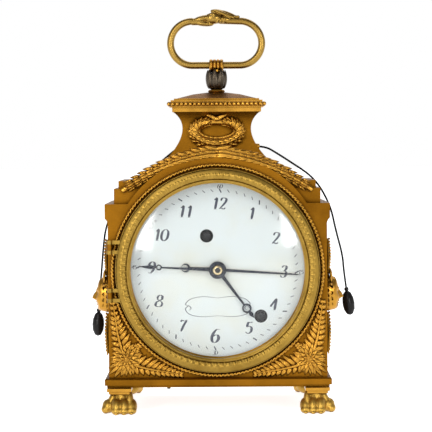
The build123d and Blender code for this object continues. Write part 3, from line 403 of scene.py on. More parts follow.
# %% A tube
def tube(path, radius, around=16, relief=None):
    """Tube along points. relief(length, turn) gives extra radius, for a plait or a twist."""
    path = np.array(path, float)
    tangent = np.gradient(path, axis=0)
    tangent /= np.linalg.norm(tangent, axis=1)[:, None]
    normal = np.cross(tangent[0], (0, 1, 0) if abs(tangent[0][1]) < 0.9 else (1, 0, 0))
    frames = []
    for direction in tangent:
        normal = normal - direction * normal.dot(direction)
        normal /= np.linalg.norm(normal)
        frames.append(normal)
    normals = np.array(frames)
    sides = np.cross(tangent, normals)
    turn = round_angles(around, closed=False).T
    length = np.concatenate([[0], np.cumsum(np.linalg.norm(np.diff(path, axis=0), axis=1))])[:, None]
    size = np.array(radius, float).reshape(-1, 1) * np.ones_like(length) + 0 * turn
    if relief is not None:
        size = size + relief(length, turn)
    return (path[:, None, :] + normals[:, None, :] * (size * np.cos(turn))[..., None]
            + sides[:, None, :] * (size * np.sin(turn))[..., None])


print("tube helper ready")

# %% [markdown]
# Front door. Its broad gilt ring is a casting with a row of leaf tips punched into it. Ninety-six
# leaves could be laid round one by one, but in life they are low relief in one turned band. So a
# profile is swept round the dial's axis, and a formula sinks the metal between the tips and along
# the middle of each.

# %% Leaf ring of the door
LEAF_TIPS, RING_INNER, RING_WIDTH, RING_FACE, TIP_RELIEF = 96, 48.9, 5.5, -42.3, 0.55
theta = round_angles(LEAF_TIPS * 12 + 1)
across = np.linspace(0, 1, 26)[None, :]
crown = RING_FACE - 1.25 * np.sin(math.pi * across * 0.62) + 2.2 * np.clip(across - 0.45, 0, 1) ** 1.2
band = np.clip(np.sin(math.pi * np.clip((across - 0.08) / 0.66, 0, 1)) * 3, 0, 1)
phase = np.abs(np.sin(LEAF_TIPS * theta / 2 + 0 * across))
vein = 0.5 * np.exp(-((phase - 1) / 0.06) ** 2)
tip = np.clip(phase - (0.2 + 0.8 * across) * 0.7, 0, 1) ** 0.8 - vein
door_ring = Pile()
door_ring.grid(round_dial(theta, RING_INNER + across * RING_WIDTH, crown - TIP_RELIEF * tip * band))
print("leaf ring:", LEAF_TIPS, "tips on a band", RING_WIDTH, "mm wide")

# %% Milled edges of the door
MILL_TEETH, MILL_SIZE = 260, 0.34
for mill_radius, mill_face in ((48.35, -42.3), (54.9, -40.1)):
    theta = round_angles(MILL_TEETH * 8 + 1)
    turn = round_angles(10).T
    size = MILL_SIZE * (0.8 + 0.3 * np.abs(np.sin(MILL_TEETH * theta / 2)))
    door_ring.grid(round_dial(theta, mill_radius + size * np.cos(turn), mill_face - size * np.sin(turn)))
door_ring.piece("door_leaf_ring", "gilt_door", "front_door")
print("door ring:", door_ring.count, "points")

# %% [markdown]
# The watch glass is a shallow dome. The frame's glass is right in size but has flat facets, and a
# reflection shows each of them. It could be smoothed by a modifier, but a frame node's mesh stays
# as it is. So a fine dome is turned from its profile and stands in the place of the frame's glass.

# %% Watch glass
GLASS_R, GLASS_RISE, GLASS_SEAT, GLASS_THICK = 47.9, 5.6, -40.0, 1.2
sphere = (GLASS_R ** 2 + GLASS_RISE ** 2) / (2 * GLASS_RISE)
theta = round_angles(181)
rim = np.linspace(GLASS_R, 0.02, 44)[None, :]
outer = GLASS_SEAT - GLASS_RISE + sphere - np.sqrt(sphere ** 2 - rim ** 2)
edge_r = np.array([[GLASS_R, GLASS_R + 0.5, GLASS_R + 0.5, GLASS_R]])
edge_y = np.array([[GLASS_SEAT, GLASS_SEAT, GLASS_SEAT + GLASS_THICK, GLASS_SEAT + GLASS_THICK]])
dome = Pile()
dome.grid(round_dial(theta, rim, outer))
dome.grid(round_dial(theta, rim[:, ::-1], outer[:, ::-1] + GLASS_THICK))
dome.grid(round_dial(theta, edge_r, edge_y))
dome.piece("watch_glass_dome", "watch_glass", "front_door", ["glass"])
print("glass turned from a sphere of radius", round(sphere, 1), "mm")

# %% [markdown]
# A cast rope lies on the case round the door. Two strands could be wound as spirals, but at this
# size only their lay shows. So one tube is swept round, its section is an oval with two lobes, and
# the oval turns as it goes.

# %% Rope border
TWISTS, ROPE_R, ROPE_DEPTH = 170, 56.9, FRONT - 1.1
theta = round_angles(TWISTS * 8, closed=False)
turn = round_angles(18, closed=False).T
size = 0.86 + 0.24 * np.cos(2 * (turn - TWISTS / 2 * theta))
rope_points = round_dial(theta, ROPE_R + size * np.cos(turn), ROPE_DEPTH - size * np.sin(turn))
rope = Pile()
rope.grid(np.concatenate([rope_points, rope_points[:1]]), wrap=True)
rope.piece("rope_border", "gilt_bright", "case_body", ["rope_ring"])
print("rope:", TWISTS, "lobes round the door")

# %% [markdown]
# A row of beads runs round the cap, cast with its moulding. An array modifier could repeat one bead
# along each side, but the rows differ in length. So each bead is a small ball over a stud of the
# frame's cap, at an even pitch counted from the middle of its side.

# %% Beads on the cap
BEAD_PITCH, BEAD_R, BEAD_Z = 2.4, 1.22, 167.7
beads = Pile()
for turn, half, count in ((0, 21.3, 21), (180, 21.3, 21), (90, 26.1, 17), (270, 26.1, 17)):
    a = math.radians(turn)
    for index in range(count):
        shift = (index - (count - 1) / 2) * BEAD_PITCH
        spot = at(half * math.sin(a) + shift * math.cos(a), -half * math.cos(a) + shift * math.sin(a), BEAD_Z)
        beads.grid(ball(BEAD_R, rings=11, around=18), wrap=True, matrix=spot)
beads.piece("cap_beads", "gilt_bright", "case_body")
print("beads:", 2 * 21 + 2 * 17)

# %% [markdown]
# The dial's numerals were painted on the enamel with a broad pen before the last firing. Blender's
# text object could write them, but no font leans and swells as these do. So each digit is a few
# points on the pen's path, in a box one unit high, and the pen does the rest.

# %% Paths of the pen
DIGITS = {
    "0": [[(0.30, 1.0), (0.08, 0.82), (0.02, 0.5), (0.08, 0.18), (0.30, 0.0), (0.52, 0.18), (0.58, 0.5),
           (0.52, 0.82), (0.30, 1.0)]],
    "1": [[(0.10, 0.80), (0.24, 0.90), (0.32, 1.0)], [(0.32, 1.0), (0.32, 0.5), (0.32, 0.0)],
          [(0.16, 0.0), (0.48, 0.0)]],
    "2": [[(0.08, 0.74), (0.12, 0.93), (0.30, 1.0), (0.50, 0.90), (0.50, 0.68), (0.32, 0.38), (0.06, 0.04)],
          [(0.06, 0.05), (0.22, 0.11), (0.40, 0.03), (0.56, 0.14)]],
    "3": [[(0.08, 0.84), (0.20, 0.98), (0.40, 0.98), (0.48, 0.80), (0.38, 0.60), (0.24, 0.54)],
          [(0.24, 0.54), (0.44, 0.50), (0.55, 0.30), (0.46, 0.06), (0.24, 0.0), (0.06, 0.14)]],
    "4": [[(0.44, 1.0), (0.22, 0.62), (0.02, 0.28)], [(0.02, 0.28), (0.60, 0.28)],
          [(0.44, 1.0), (0.44, 0.5), (0.44, 0.0)], [(0.30, 0.0), (0.56, 0.0)]],
    "5": [[(0.16, 0.98), (0.34, 0.94), (0.52, 1.0)], [(0.16, 0.98), (0.12, 0.76), (0.11, 0.55)],
          [(0.11, 0.55), (0.32, 0.62), (0.52, 0.48), (0.52, 0.16), (0.30, 0.0), (0.06, 0.12)]],
    "6": [[(0.52, 0.94), (0.28, 0.94), (0.08, 0.62), (0.05, 0.28), (0.18, 0.02), (0.40, 0.02), (0.54, 0.24),
           (0.46, 0.50), (0.26, 0.54), (0.09, 0.40)]],
    "7": [[(0.06, 0.84), (0.14, 0.98), (0.34, 0.92), (0.56, 1.0)], [(0.56, 1.0), (0.36, 0.55), (0.22, 0.0)]],
    "8": [[(0.30, 0.54), (0.12, 0.66), (0.12, 0.90), (0.30, 1.0), (0.48, 0.90), (0.48, 0.66), (0.30, 0.54),
           (0.06, 0.36), (0.06, 0.10), (0.30, 0.0), (0.54, 0.10), (0.54, 0.36), (0.30, 0.54)]],
    "9": [[(0.51, 0.60), (0.34, 0.46), (0.14, 0.52), (0.06, 0.76), (0.20, 0.98), (0.42, 0.98), (0.55, 0.72),
           (0.50, 0.36), (0.30, 0.04), (0.10, 0.08)]],
}
print("digits drawn with", sum(len(strokes) for strokes in DIGITS.values()), "strokes")

# %% Strokes of the pen
def smooth_line(points, steps=10):
    """Curve through points, rounded as a flexible rule would be."""
    p = np.array([points[0]] + list(points) + [points[-1]], float)
    if len(points) > 2 and points[0] == points[-1]:
        p[0], p[-1] = points[-2], points[1]
    out = []
    for i in range(1, len(p) - 2):
        before, start, end, after = p[i - 1:i + 3]
        slope = end - before
        bend = 2 * before - 5 * start + 4 * end - after
        twist = 3 * start - before - 3 * end + after
        for t in np.linspace(0, 1, steps, endpoint=False):
            out.append(0.5 * (2 * start + slope * t + bend * t ** 2 + twist * t ** 3))
    return np.array(out + [p[-2]])


def pen(pile, points, matrix, thin, thick, lift=0.03):
    """One stroke, laid as a thin ribbon just proud of the enamel. It is thick where it runs up."""
    line = smooth_line(points) if len(points) > 2 else np.array(points, float)
    direction = np.gradient(line, axis=0)
    direction /= np.linalg.norm(direction, axis=1)[:, None] + 1e-9
    width = thin + (thick - thin) * np.abs(direction[:, 1]) ** 1.5
    share = np.linspace(0, 1, len(line))
    taper = np.minimum(1, 0.45 + 3 * np.minimum(share, share[::-1]))
    side = np.stack([-direction[:, 1], direction[:, 0]], axis=1) * (width * taper / 2)[:, None]
    rim = [np.concatenate([line + side * k, np.full((len(line), 1), z)], axis=1)
           for k, z in ((1.0, 0.0), (0.8, lift), (-0.8, lift), (-1.0, 0.0))]
    pile.grid(np.stack(rim, axis=1), matrix=matrix)


print("a pen stroke through three points has", len(smooth_line([(0, 0), (1, 1), (2, 0)])), "points")

# %% [markdown]
# Twelve Arabic hours, small minutes at the quarters and a dash for each minute stand on the dial.
# Each could be moved by eye, but a dial is divided evenly, so they are placed by their angle from
# twelve. The whole ring is turned by two degrees, since the enamel sits a little askew.

# %% Writing a number
DIAL_TURN = 2.0
DIGIT_STEP, DIGIT_SLANT = 0.62, 0.16
marks = Pile()


def dial_point(radius, clockwise):
    """Place on the dial at a radius and an angle from twelve."""
    a = math.radians(clockwise + DIAL_TURN)
    return radius * math.sin(a), DIAL_Z + radius * math.cos(a)


def number(text, centre, height, weight):
    """Writes a number centred on a point of the dial, leaning a little to the right."""
    lean = Matrix(((1, DIGIT_SLANT, 0, 0), (0, 1, 0, 0), (0, 0, 1, 0), (0, 0, 0, 1)))
    for index, digit in enumerate(text):
        shift = (index - (len(text) - 1) / 2) * DIGIT_STEP - 0.30
        place = (on_front(centre[0], centre[1], -DIAL_TURN, DIAL_FRONT) @ Matrix.Scale(height, 4) @ lean
                 @ at(shift, -0.5, 0))
        for stroke in DIGITS[digit]:
            pen(marks, stroke, place, 0.04, weight, lift=0.008)


print("twelve stands at", [round(v, 1) for v in dial_point(36.0, 0)])

# %% Hours and minutes
FLAT = at(0, DIAL_FRONT, 0) @ Matrix(((1, 0, 0, 0), (0, 0, -1, 0), (0, 1, 0, 0), (0, 0, 0, 1)))
for hour in range(1, 13):
    number(str(hour), dial_point(36.0, hour * 30), 7.4 if hour == 6 else 6.3, 0.22)
for minute in range(60):
    inner, outer, wide = (42.0, 44.1, 1.5) if minute % 5 == 0 else (42.4, 43.8, 0.8)
    dash = [dial_point(inner, minute * 6 + 1.0), dial_point(outer, minute * 6 - 0.6)]
    pen(marks, dash, FLAT, wide, wide)
for text, angle in (("60", 0), ("15", 90), ("30", 180), ("45", 270)):
    number(text, dial_point(45.4, angle), 2.2, 0.2)
print("hours and minutes:", marks.count, "points")

# %% [markdown]
# An empty scroll, two curled lines, lies under the hands. It could be drawn as one long stroke, but
# its two halves would hardly match by hand. So one half is drawn with the same pen, and the sign of
# its x gives the other.

# %% Empty scroll
for flip in (-1, 1):
    lower = [(0.0, 52.2), (flip * 8.0, 51.6), (flip * 15.0, 52.8), (flip * 17.6, 55.6), (flip * 16.0, 57.6),
             (flip * 14.6, 56.4), (flip * 15.6, 55.2)]
    upper = [(0.0, 61.8), (flip * 8.0, 62.6), (flip * 14.6, 61.4), (flip * 17.6, 58.6), (flip * 15.8, 57.8)]
    pen(marks, lower, FLAT, 0.26, 0.5)
    pen(marks, upper, FLAT, 0.26, 0.46)
marks.piece("dial_marks", "ink", "case_body")
print("dial drawn with", marks.count, "points")

# %% [markdown]
# A blued collet holds the three hands, and a small polished dome closes the arbor. Both are turned
# on a lathe. Cylinders would do from afar, but their edges would be too sharp close by. So each is a
# profile swept round the dial's axis. They ride with the minute hand.

# %% Collet and its dome
theta = round_angles(73)
collet_r = np.array([[4.7, 4.7, 4.3, 3.3, 2.9, 2.7]])
collet_y = np.array([[-34.7, -35.2, -35.6, -35.6, -35.2, -34.9]])
collet = Pile()
collet.grid(round_dial(theta, collet_r, collet_y))
collet.piece("hand_collet", "blued_steel", "minute_set")
turn = np.linspace(0, math.pi / 2, 12)[None, :]
button = Pile()
button.grid(round_dial(theta, 2.9 * np.cos(turn), -34.9 - 1.5 * np.sin(turn)))
button.piece("hand_collet_dome", "bell_metal", "minute_set")
print("collet", 2 * collet_r.max(), "mm across")

# %% [markdown]
# Laurel lies along the arch: one casting on each side, pinned to the drum. A modifier could scatter
# leaves over the arch, but a chaser sets them in order. So they are laid one by one, five to a group
# from the middle outwards, and each group is a little smaller than the last.

# %% Line of the arch
ARCH_R, ARCH_TOP = 95.7, 139.6


def arch(side, share):
    """Point and heading in degrees on the laurel's line, from the middle outwards."""
    x = 0.5 + share * 49.0
    rise = math.sqrt(ARCH_R ** 2 - x ** 2)
    z = ARCH_TOP - ARCH_R + rise - (3.4 * share + 0.6)
    return side * x, z, math.degrees(math.atan2(-x / rise, side))


print("the laurel ends at", [round(v, 1) for v in arch(1, 1.0)])

# %% Leaves and berries
LAUREL_GROUPS = 13
# Lean and lift in degrees, shift off the line and stand proud of it in millimetres
LAUREL_LEAVES = ((15, 4, 2.4, 0.0), (-17, 4, -2.4, 0.0), (7, 8, 1.1, 0.7), (-7, 8, -1.1, 0.7),
                 (0, 11, 0, 1.3))


def laurel(side):
    """Leaves and berries of one side."""
    spray = Pile()
    for index in range(LAUREL_GROUPS):
        share = (index - 0.7) / 12.6
        x, z, heading = arch(side, share)
        size = (0.95 - 0.42 * share) * rng.uniform(0.94, 1.06)
        a = math.radians(heading + 90)
        for lean, lift, shift, proud in LAUREL_LEAVES:
            spot = on_front(x + shift * size * math.cos(a), z + shift * size * math.sin(a), heading + lean,
                            -33.4 - proud, tilt=lift)
            spray.grid(leaf(10.6 * size, 3.5 * size, 1.1, curl=-0.9), matrix=spot)
        for lean in (-50, 50):
            a = math.radians(heading + lean)
            spray.grid(ball(0.8), wrap=True, matrix=at(x + 3.0 * math.cos(a), -35.0, z + 3.0 * math.sin(a)))
    return spray


print("a laurel has", LAUREL_GROUPS * len(LAUREL_LEAVES), "leaves")

# %% Laurel over the arch
def laurel_back(side):
    """Flat bar behind the leaves, so that the spray isn't hollow from behind."""
    rows = []
    for share in np.linspace(-0.05, 1.04, 44):
        x, z, heading = arch(side, share)
        a, half = math.radians(heading + 90), 3.3 * (0.95 - 0.5 * share)
        rows.append([(x + k * half * math.cos(a), y, z + k * half * math.sin(a))
                     for k, y in ((-1, -32.6), (1, -32.6), (0.9, -34.0), (-0.9, -34.0))])
    return np.array(rows)


for name, side in (("laurel_left", -1), ("laurel_right", 1)):
    spray = laurel(side)
    line = [arch(side, share) for share in np.linspace(0, 0.98, 24)]
    spray.grid(tube([(x, -33.0, z) for x, z, _ in line], 1.1, 10), wrap=True)
    spray.grid(laurel_back(side), wrap=True)
    spray.piece(name + "_leaves", "gilt_bright", "case_body", [name])
    print(name, "has", spray.count, "points")

# %% [markdown]
# A small open wreath lies on the neck. Its two branches cross below and a bow ties them above. It
# could be the laurel's line bent round, but the wreath is an oval on a flat wall. So each branch
# follows the oval by its angle, over a plain ring that fills the gaps.

# %% Wreath on the neck
WREATH_Z, BOW_Z, WREATH_GROUPS = 152.2, 159.6, 11
# Lean and lift in degrees, stand proud in millimetres
WREATH_LEAVES = ((-30, 5, 0), (30, 5, 0), (-12, 12, 0.4), (12, 12, 0.4), (0, 16, 0.9))
wreath = Pile()
for flip in (-1, 1):
    for index in range(WREATH_GROUPS):
        share = index / WREATH_GROUPS
        a = math.radians(270 - flip * (-22 + 172 * share))
        x, z = 11.0 * math.cos(a), WREATH_Z + 5.7 * math.sin(a)
        heading = math.degrees(math.atan2(6.3 * math.cos(a), -11.6 * math.sin(a))) + (180 if flip > 0 else 0)
        size = 1.25 - 0.4 * share
        for lean, lift, proud in WREATH_LEAVES:
            spot = on_front(x, z, heading + lean, -17.9 - proud, tilt=lift)
            wreath.grid(leaf(6.4 * size, 3.1 * size, 1.0, curl=-0.7), matrix=spot)
        wreath.grid(ball(0.55), wrap=True, matrix=at(x, -19.9, z))
    for end, turn in ((6.2, 70), (3.4, 85)):
        bow = on_front(0, BOW_Z, 90 - flip * turn, -19.0, tilt=6)
        wreath.grid(leaf(end, 2.0, 0.6, curl=-0.4), matrix=bow)
wreath.grid(ball(1.5, (1.2, 0.7, 0.9)), wrap=True, matrix=at(0, -19.0, BOW_Z - 0.2))
ring = [(10.9 * math.cos(a), -17.2, WREATH_Z + 5.6 * math.sin(a)) for a in round_angles(73)[:, 0]]
wreath.grid(tube(ring, 1.9, 12), wrap=True)
wreath.piece("neck_wreath_leaves", "gilt_bright", "case_body", ["neck_wreath"])
print("wreath:", wreath.count, "points")

# %% [markdown]
# Each lower corner has a sunflower, with acanthus running along the floor and up the wall from it.
# A carved block could be textured with leaves, but its outline would stay plain. So the flower is
# rings of petals round a seeded middle, and a lobed leaf is many small leaves along one rib.

# %% Sunflower
PETAL_ROWS = ((0, 14, 8.8, 2.5, 5), (1, 11, 6.6, 2.3, 18), (2, 9, 4.2, 1.8, 40))
SEED_ROWS = ((0.0, 1), (0.9, 7), (1.6, 12))


def sunflower(pile, x, z, depth):
    """Three rings of petals round a seeded middle."""
    for ring, count, length, width, lift in PETAL_ROWS:
        for index in range(count):
            turn = 360 * (index + 0.5 * (ring % 2)) / count
            spot = on_front(x, z, turn, depth - 0.3 * ring, tilt=lift)
            pile.grid(leaf(length, width, 0.55, curl=-0.9), matrix=spot)
    pile.grid(ball(2.0, (1, 0.55, 1)), wrap=True, matrix=at(x, depth - 1.5, z))
    for ring, count in SEED_ROWS:
        for index in range(count):
            a = FULL_TURN * index / count
            seed = at(x + ring * math.cos(a), depth - 2.6 + ring * 0.28, z + ring * math.sin(a))
            pile.grid(ball(0.36, rings=5, around=8), wrap=True, matrix=seed)


print("a sunflower has", sum(row[1] for row in PETAL_ROWS), "petals")

# %% Acanthus
LEAF_FACE, LOBE_WIDTH = FRONT - 0.2, 2.6


def acanthus(pile, rib, lobes, left, right):
    """Feathered leaf. Lobes spring from a rib on both sides, their lengths read off two short lists."""
    rib = smooth_line(rib, 12)
    for index in range(lobes):
        share = (index + 0.3) / lobes
        step = share * (len(rib) - 2)
        knot = int(step)
        here = rib[knot] + (rib[knot + 1] - rib[knot]) * (step - knot)
        ahead = rib[min(len(rib) - 1, knot + 2)] - rib[knot]
        heading = math.degrees(math.atan2(ahead[1], ahead[0]))
        for lengths, hand in ((left, 1), (right, -1)):
            reach = np.interp(share, np.linspace(0, 1, len(lengths)), lengths) * rng.uniform(0.92, 1.12)
            spot = on_front(here[0], here[1], heading + hand * (58 - 26 * share),
                            LEAF_FACE - 0.25 * (index % 2), tilt=11)
            pile.grid(leaf(reach, LOBE_WIDTH * (1.2 - 0.3 * share), 1.0, curl=-1.3), matrix=spot)
    spine = [(x, LEAF_FACE - 0.9 + 0.5 * k / len(rib), z) for k, (x, z) in enumerate(rib)]
    pile.grid(tube(spine, np.linspace(1.0, 0.35, len(rib)), 10), wrap=True)


print("acanthus lobes are", LOBE_WIDTH, "mm wide")

# %% Mounts of the lower corners
# Rib with x counted outwards, number of lobes, and lobe lengths to its left and right on the left mount
CORNER_RIBS = (
    ([(48.0, 27.0), (38.0, 24.2), (28.0, 22.4), (19.5, 20.9)], 11,
     [9.0, 9.0, 7.0, 4.4, 3.0], [6.0, 5.4, 4.8, 4.0, 3.0]),
    ([(51.0, 31.0), (53.8, 41.0), (55.4, 51.0), (56.8, 61.0)], 11,
     [6.0, 5.6, 4.6, 3.6, 3.0], [9.0, 8.0, 5.6, 3.6, 3.0]),
    ([(47.5, 32.0), (45.0, 34.8), (42.6, 37.0)], 4, [4.6, 3.4, 2.6], [4.6, 3.4, 2.6]))
# Heading in degrees and length of each leaf behind the flower
CORNER_FAN = ((172, 9.4), (190, 9.8), (206, 11.4), (221, 13.0), (236, 12.6), (252, 10.6), (268, 10.0),
              (286, 10.0), (304, 10.4))
for side, name in ((-1, "corner_mount_left"), (1, "corner_mount_right")):
    mount = Pile()
    for rib, lobes, left, right in CORNER_RIBS:
        hands = (left, right) if side < 0 else (right, left)
        acanthus(mount, [(side * x, z) for x, z in rib], lobes, *hands)
    for heading, length in CORNER_FAN:
        turn = 180 - heading if side > 0 else heading
        spot = on_front(side * 49.6, 29.4, turn, LEAF_FACE, tilt=3)
        mount.grid(leaf(length, 3.3, 1.0, curl=-1.0), matrix=spot)
    sunflower(mount, side * 49.4, 29.2, FRONT - 1.3)
    mount.piece(name + "_leaves", "gilt_bright", "case_body", [name])
    print(name, "has", mount.count, "points")

# %% [markdown]
# Each side wall has a calm mask, the builder's own, with hair rayed round it. A mask could be
# sculpted by hand, but a height over an oval is enough for one seen only from the outside. Soft
# bumps for nose, brows, lids, lips and cheeks are added to a dome.

# %% Height of the mask
def face_relief(u, v):
    """Height of the mask over an upright oval, u across and v up, both from -1 to 1."""
    def bump(cu, cv, su, sv):
        return np.exp(-((u - cu) / su) ** 2 - ((v - cv) / sv) ** 2)

    def pair(cu, cv, su, sv):
        return bump(-cu, cv, su, sv) + bump(cu, cv, su, sv)

    dome = 7.4 * np.clip(1 - np.abs(0.92 * u) ** 2.6 - np.abs(0.9 * v) ** 3.0, 0, 1) ** 0.42
    nose = 2.3 * bump(0, -0.06, 0.13, 0.24) + 1.1 * bump(0, -0.2, 0.2, 0.09)
    nose = nose + 0.4 * pair(0.13, -0.25, 0.07, 0.06)
    brows = 0.8 * pair(0.36, 0.28, 0.26, 0.09) - 1.1 * pair(0.36, 0.12, 0.2, 0.12)
    eyes = 0.75 * pair(0.36, 0.11, 0.13, 0.07)
    lids = 0.4 * pair(0.36, 0.16, 0.17, 0.025) - 0.35 * pair(0.36, 0.115, 0.14, 0.02)
    lips = 0.75 * bump(0, -0.43, 0.24, 0.05) + 0.8 * bump(0, -0.54, 0.2, 0.055)
    lips = lips - 0.7 * bump(0, -0.485, 0.26, 0.025)
    cheeks = 0.7 * pair(0.48, -0.2, 0.26, 0.26) + 0.9 * bump(0, -0.76, 0.22, 0.15)
    return dome + nose + brows + eyes + lids + lips + cheeks


print("mask stands", round(float(face_relief(0.0, -0.06)), 1), "mm high at the nose")

# %% Mask and its hair
WALL, MASK_Z = 59.4, 61.6
HAIR_ROWS = ((0, 20, 5.0, 2.6, 8), (1, 20, 4.0, 2.3, 24), (2, 16, 3.4, 2.4, 46))


def mask(mount, sign):
    """Rays of hair, the face, and a crown of nine leaves over its brow."""
    for ring, count, length, width, lift in HAIR_ROWS:
        for index in range(count):
            turn = 360 * (index + 0.5 * (ring % 2)) / count
            y, z = sign * 6.2 * math.cos(math.radians(turn)), 62.2 + 7.2 * math.sin(math.radians(turn))
            spot = on_side(sign, y, z, turn, WALL + 1.5 * ring, tilt=lift)
            mount.grid(leaf(length, width, 0.7, curl=-0.4), matrix=spot)
    r, a = np.linspace(0, 1, 42)[:, None], round_angles(72, closed=False).T
    u, v = r * np.cos(a), r * np.sin(a)
    relief = face_relief(u, v) * np.clip((1 - r) * 9, 0, 1) ** 0.5
    face = np.stack([7.4 * u, 10.2 * v, 1.0 + relief], axis=-1)
    mount.grid(face, wrap=True, matrix=on_side(sign, 0, MASK_Z, 0, WALL))
    for turn in np.linspace(20, 160, 9):
        y, z = sign * 4.6 * math.cos(math.radians(turn)), 63.2 + 8.0 * math.sin(math.radians(turn))
        mount.grid(leaf(4.6, 3.0, 1.0, curl=-1.6), matrix=on_side(sign, y, z, turn, 63.2, tilt=16))


print("hair:", sum(row[1] for row in HAIR_ROWS), "rays on each mask")

# %% [markdown]
# A garland of leaves and fruit hangs above and below each mask. It swells in its middle and thins at
# both ends. A chain of equal copies would look stamped, so each row of leaves has its own size and
# the fruits are moved a little at random.

# %% Garlands
GARLANDS, GARLAND_ROWS = ((73.0, 93.0), (29.0, 51.6)), 12
GARLAND_LEAVES = ((-145, 16), (-35, 16), (-90, 26), (-120, 22), (-60, 22))


def garland(mount, sign, low, high):
    """Rows of leaves and fruit down the wall."""
    for index in range(GARLAND_ROWS):
        share = (index + 0.5) / GARLAND_ROWS
        swell, z = 1.05 - 0.4 * abs(2 * share - 1), high - (high - low) * share
        for lean, lift in GARLAND_LEAVES:
            spot = on_side(sign, 0, z, lean, 61.4, tilt=lift)
            mount.grid(leaf(4.8 * swell, 2.8 * swell, 0.9, curl=-0.5), matrix=spot)
        for y in (-1.9, 0.2, 2.1):
            fruit = at(sign * (62.4 + 0.6 * swell), y * swell + rng.uniform(-0.3, 0.3), z)
            mount.grid(ball(0.85 * swell, rings=7, around=10), wrap=True, matrix=fruit)


for sign, name in ((-1, "side_mount_left"), (1, "side_mount_right")):
    mount = Pile()
    mask(mount, sign)
    for low, high in GARLANDS:
        garland(mount, sign, low, high)
    mount.piece(name + "_relief", "gilt_bright", "case_body", [name])
    print(name, "has", mount.count, "points")

# %% [markdown]
# Paws and the serpent's head are soft, swollen forms. Joining them by booleans would leave hard
# seams. Here oval lumps are set into one another, a voxel remesh draws one skin over them all, and a
# smoothing pass softens the valleys.

# %% One skin over lumps
def skin(pile, name, slot, body, voxel, smooth):
    """Merges a pile's closed lumps into one smooth skin."""
    thing = pile.piece(name + "_lumps", slot, None)
    merge = thing.modifiers.new("merge", "REMESH")
    merge.mode, merge.voxel_size, merge.use_smooth_shade = "VOXEL", voxel * MM, True
    soften = thing.modifiers.new("soften", "SMOOTH")
    soften.factor, soften.iterations = 0.5, smooth
    bpy.context.view_layer.update()
    done = bpy.data.meshes.new_from_object(thing.evaluated_get(bpy.context.evaluated_depsgraph_get()))
    bpy.data.objects.remove(thing)
    made = bpy.data.objects.new(name, done)
    done.polygons.foreach_set("use_smooth", [True] * len(done.polygons))
    return dress(made, slot, body)


def lump(pile, place, size, turn=(0, 0, 0)):
    """Oval lump at a place, with its half sizes and its turns about X, Y and Z in degrees."""
    matrix = at(*place)
    for angle, axis in zip(turn, "XYZ"):
        matrix = matrix @ Matrix.Rotation(math.radians(angle), 4, axis)
    pile.grid(ball(1.0, size, rings=17, around=24), wrap=True, matrix=matrix)


print("lumps and skin ready")

# %% [markdown]
# A lion's paw stands at each corner: pad and ankle, three long toes with knuckles and claws, and a
# short side toe. One paw could be made and mirrored, but a mirrored object turns its faces inside
# out. So one function takes the signs of its corner and makes each paw in place.

# %% A paw
PAW_X, PAW_Y = 52.6, 32.6
TOES = ((-5.6, 10.2, 3.0, 3.9), (-1.7, 11.5, 3.0, 4.3), (2.5, 11.5, 3.0, 4.3))


def paw(sx, sy):
    """Lumps of the paw at one corner."""
    foot, x, y = Pile(), sx * PAW_X, sy * PAW_Y
    lump(foot, (x, y - sy * 1.0, 4.4), (7.3, 7.6, 4.4))
    lump(foot, (x + sx * 0.3, y + sy * 1.0, 8.2), (6.3, 6.2, 6.4))
    for shift, reach, wide, tall in TOES:
        lump(foot, (x + sx * shift, y + sy * (reach - 4.9), tall), (wide, 5.4, tall), (sy * -20, 0, 0))
        lump(foot, (x + sx * shift, y + sy * (reach - 1.7), 2.1), (wide * 0.94, 2.8, 2.2))
        lump(foot, (x + sx * (shift * 0.84 + 0.2), y + sy * 5.6, 6.6), (2.1, 2.9, 6.4), (sy * 24, 0, 0))
        lump(foot, (x + sx * shift, y + sy * (reach + 0.9), 0.9), (wide * 0.45, 1.0, 0.8))
    lump(foot, (x + sx * 7.0, y + sy * 3.6, 3.9), (3.4, 4.6, 3.8), (0, sx * 16, 0))
    lump(foot, (x + sx * 8.4, y + sy * 5.4, 2.5), (2.5, 3.4, 2.5))
    lump(foot, (x + sx * 5.4, y + sy * 3.6, 6.6), (2.1, 3.0, 5.4), (0, sx * -18, 0))
    return foot


print("a paw has", len(TOES), "long toes")

# %% Block over a paw
def block(sx, sy):
    """Two square courses between a paw and the plinth, with their edges broken."""
    steps, x, y = Pile(), sx * (PAW_X + 1.0), sy * (PAW_Y + 2.0)
    for low, high, half in ((10.6, 12.2, 5.6), (12.0, 14.0, 6.6)):
        corners = ((-half, -half), (half, -half), (half, half), (-half, half))
        levels = ((low, 0.94), (low + 0.2, 1.0), (high - 0.2, 1.0), (high, 0.94))
        rows = [[(x + a * shrink, y + b * shrink, z) for a, b in corners] for z, shrink in levels]
        steps.grid(np.array(rows), wrap=True)
    return steps


print("a block has", block(1, 1).count, "points")

# %% Four paws and their blocks
CORNERS = (("front_left", -1, -1), ("front_right", 1, -1), ("back_left", -1, 1), ("back_right", 1, 1))
for corner, sx, sy in CORNERS:
    foot = skin(paw(sx, sy), f"paw_{corner}_skin", "gilt_bright", None, 0.36, smooth=8)
    foot.data.materials[0] = finish["paw_gilt"]
    for vertex in foot.data.vertices:
        vertex.co.z = max(vertex.co.z, 0.0)
    bpy.context.view_layer.update()
    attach(foot, "case_body")
    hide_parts(f"paw_{corner}")
    stub = block(sx, sy).piece(f"paw_{corner}_block", "gilt_bright", "case_body")
    stub.data.polygons.foreach_set("use_smooth", [False] * len(stub.data.polygons))
    print(f"paw_{corner}:", len(foot.data.polygons), "faces")

# %% [markdown]
# A dark bronze bud closes the lid under the handle. It could be turned, but its petals overlap and
# their tips stand free. So three rings of leaves are laid, nearly upright, round an egg.

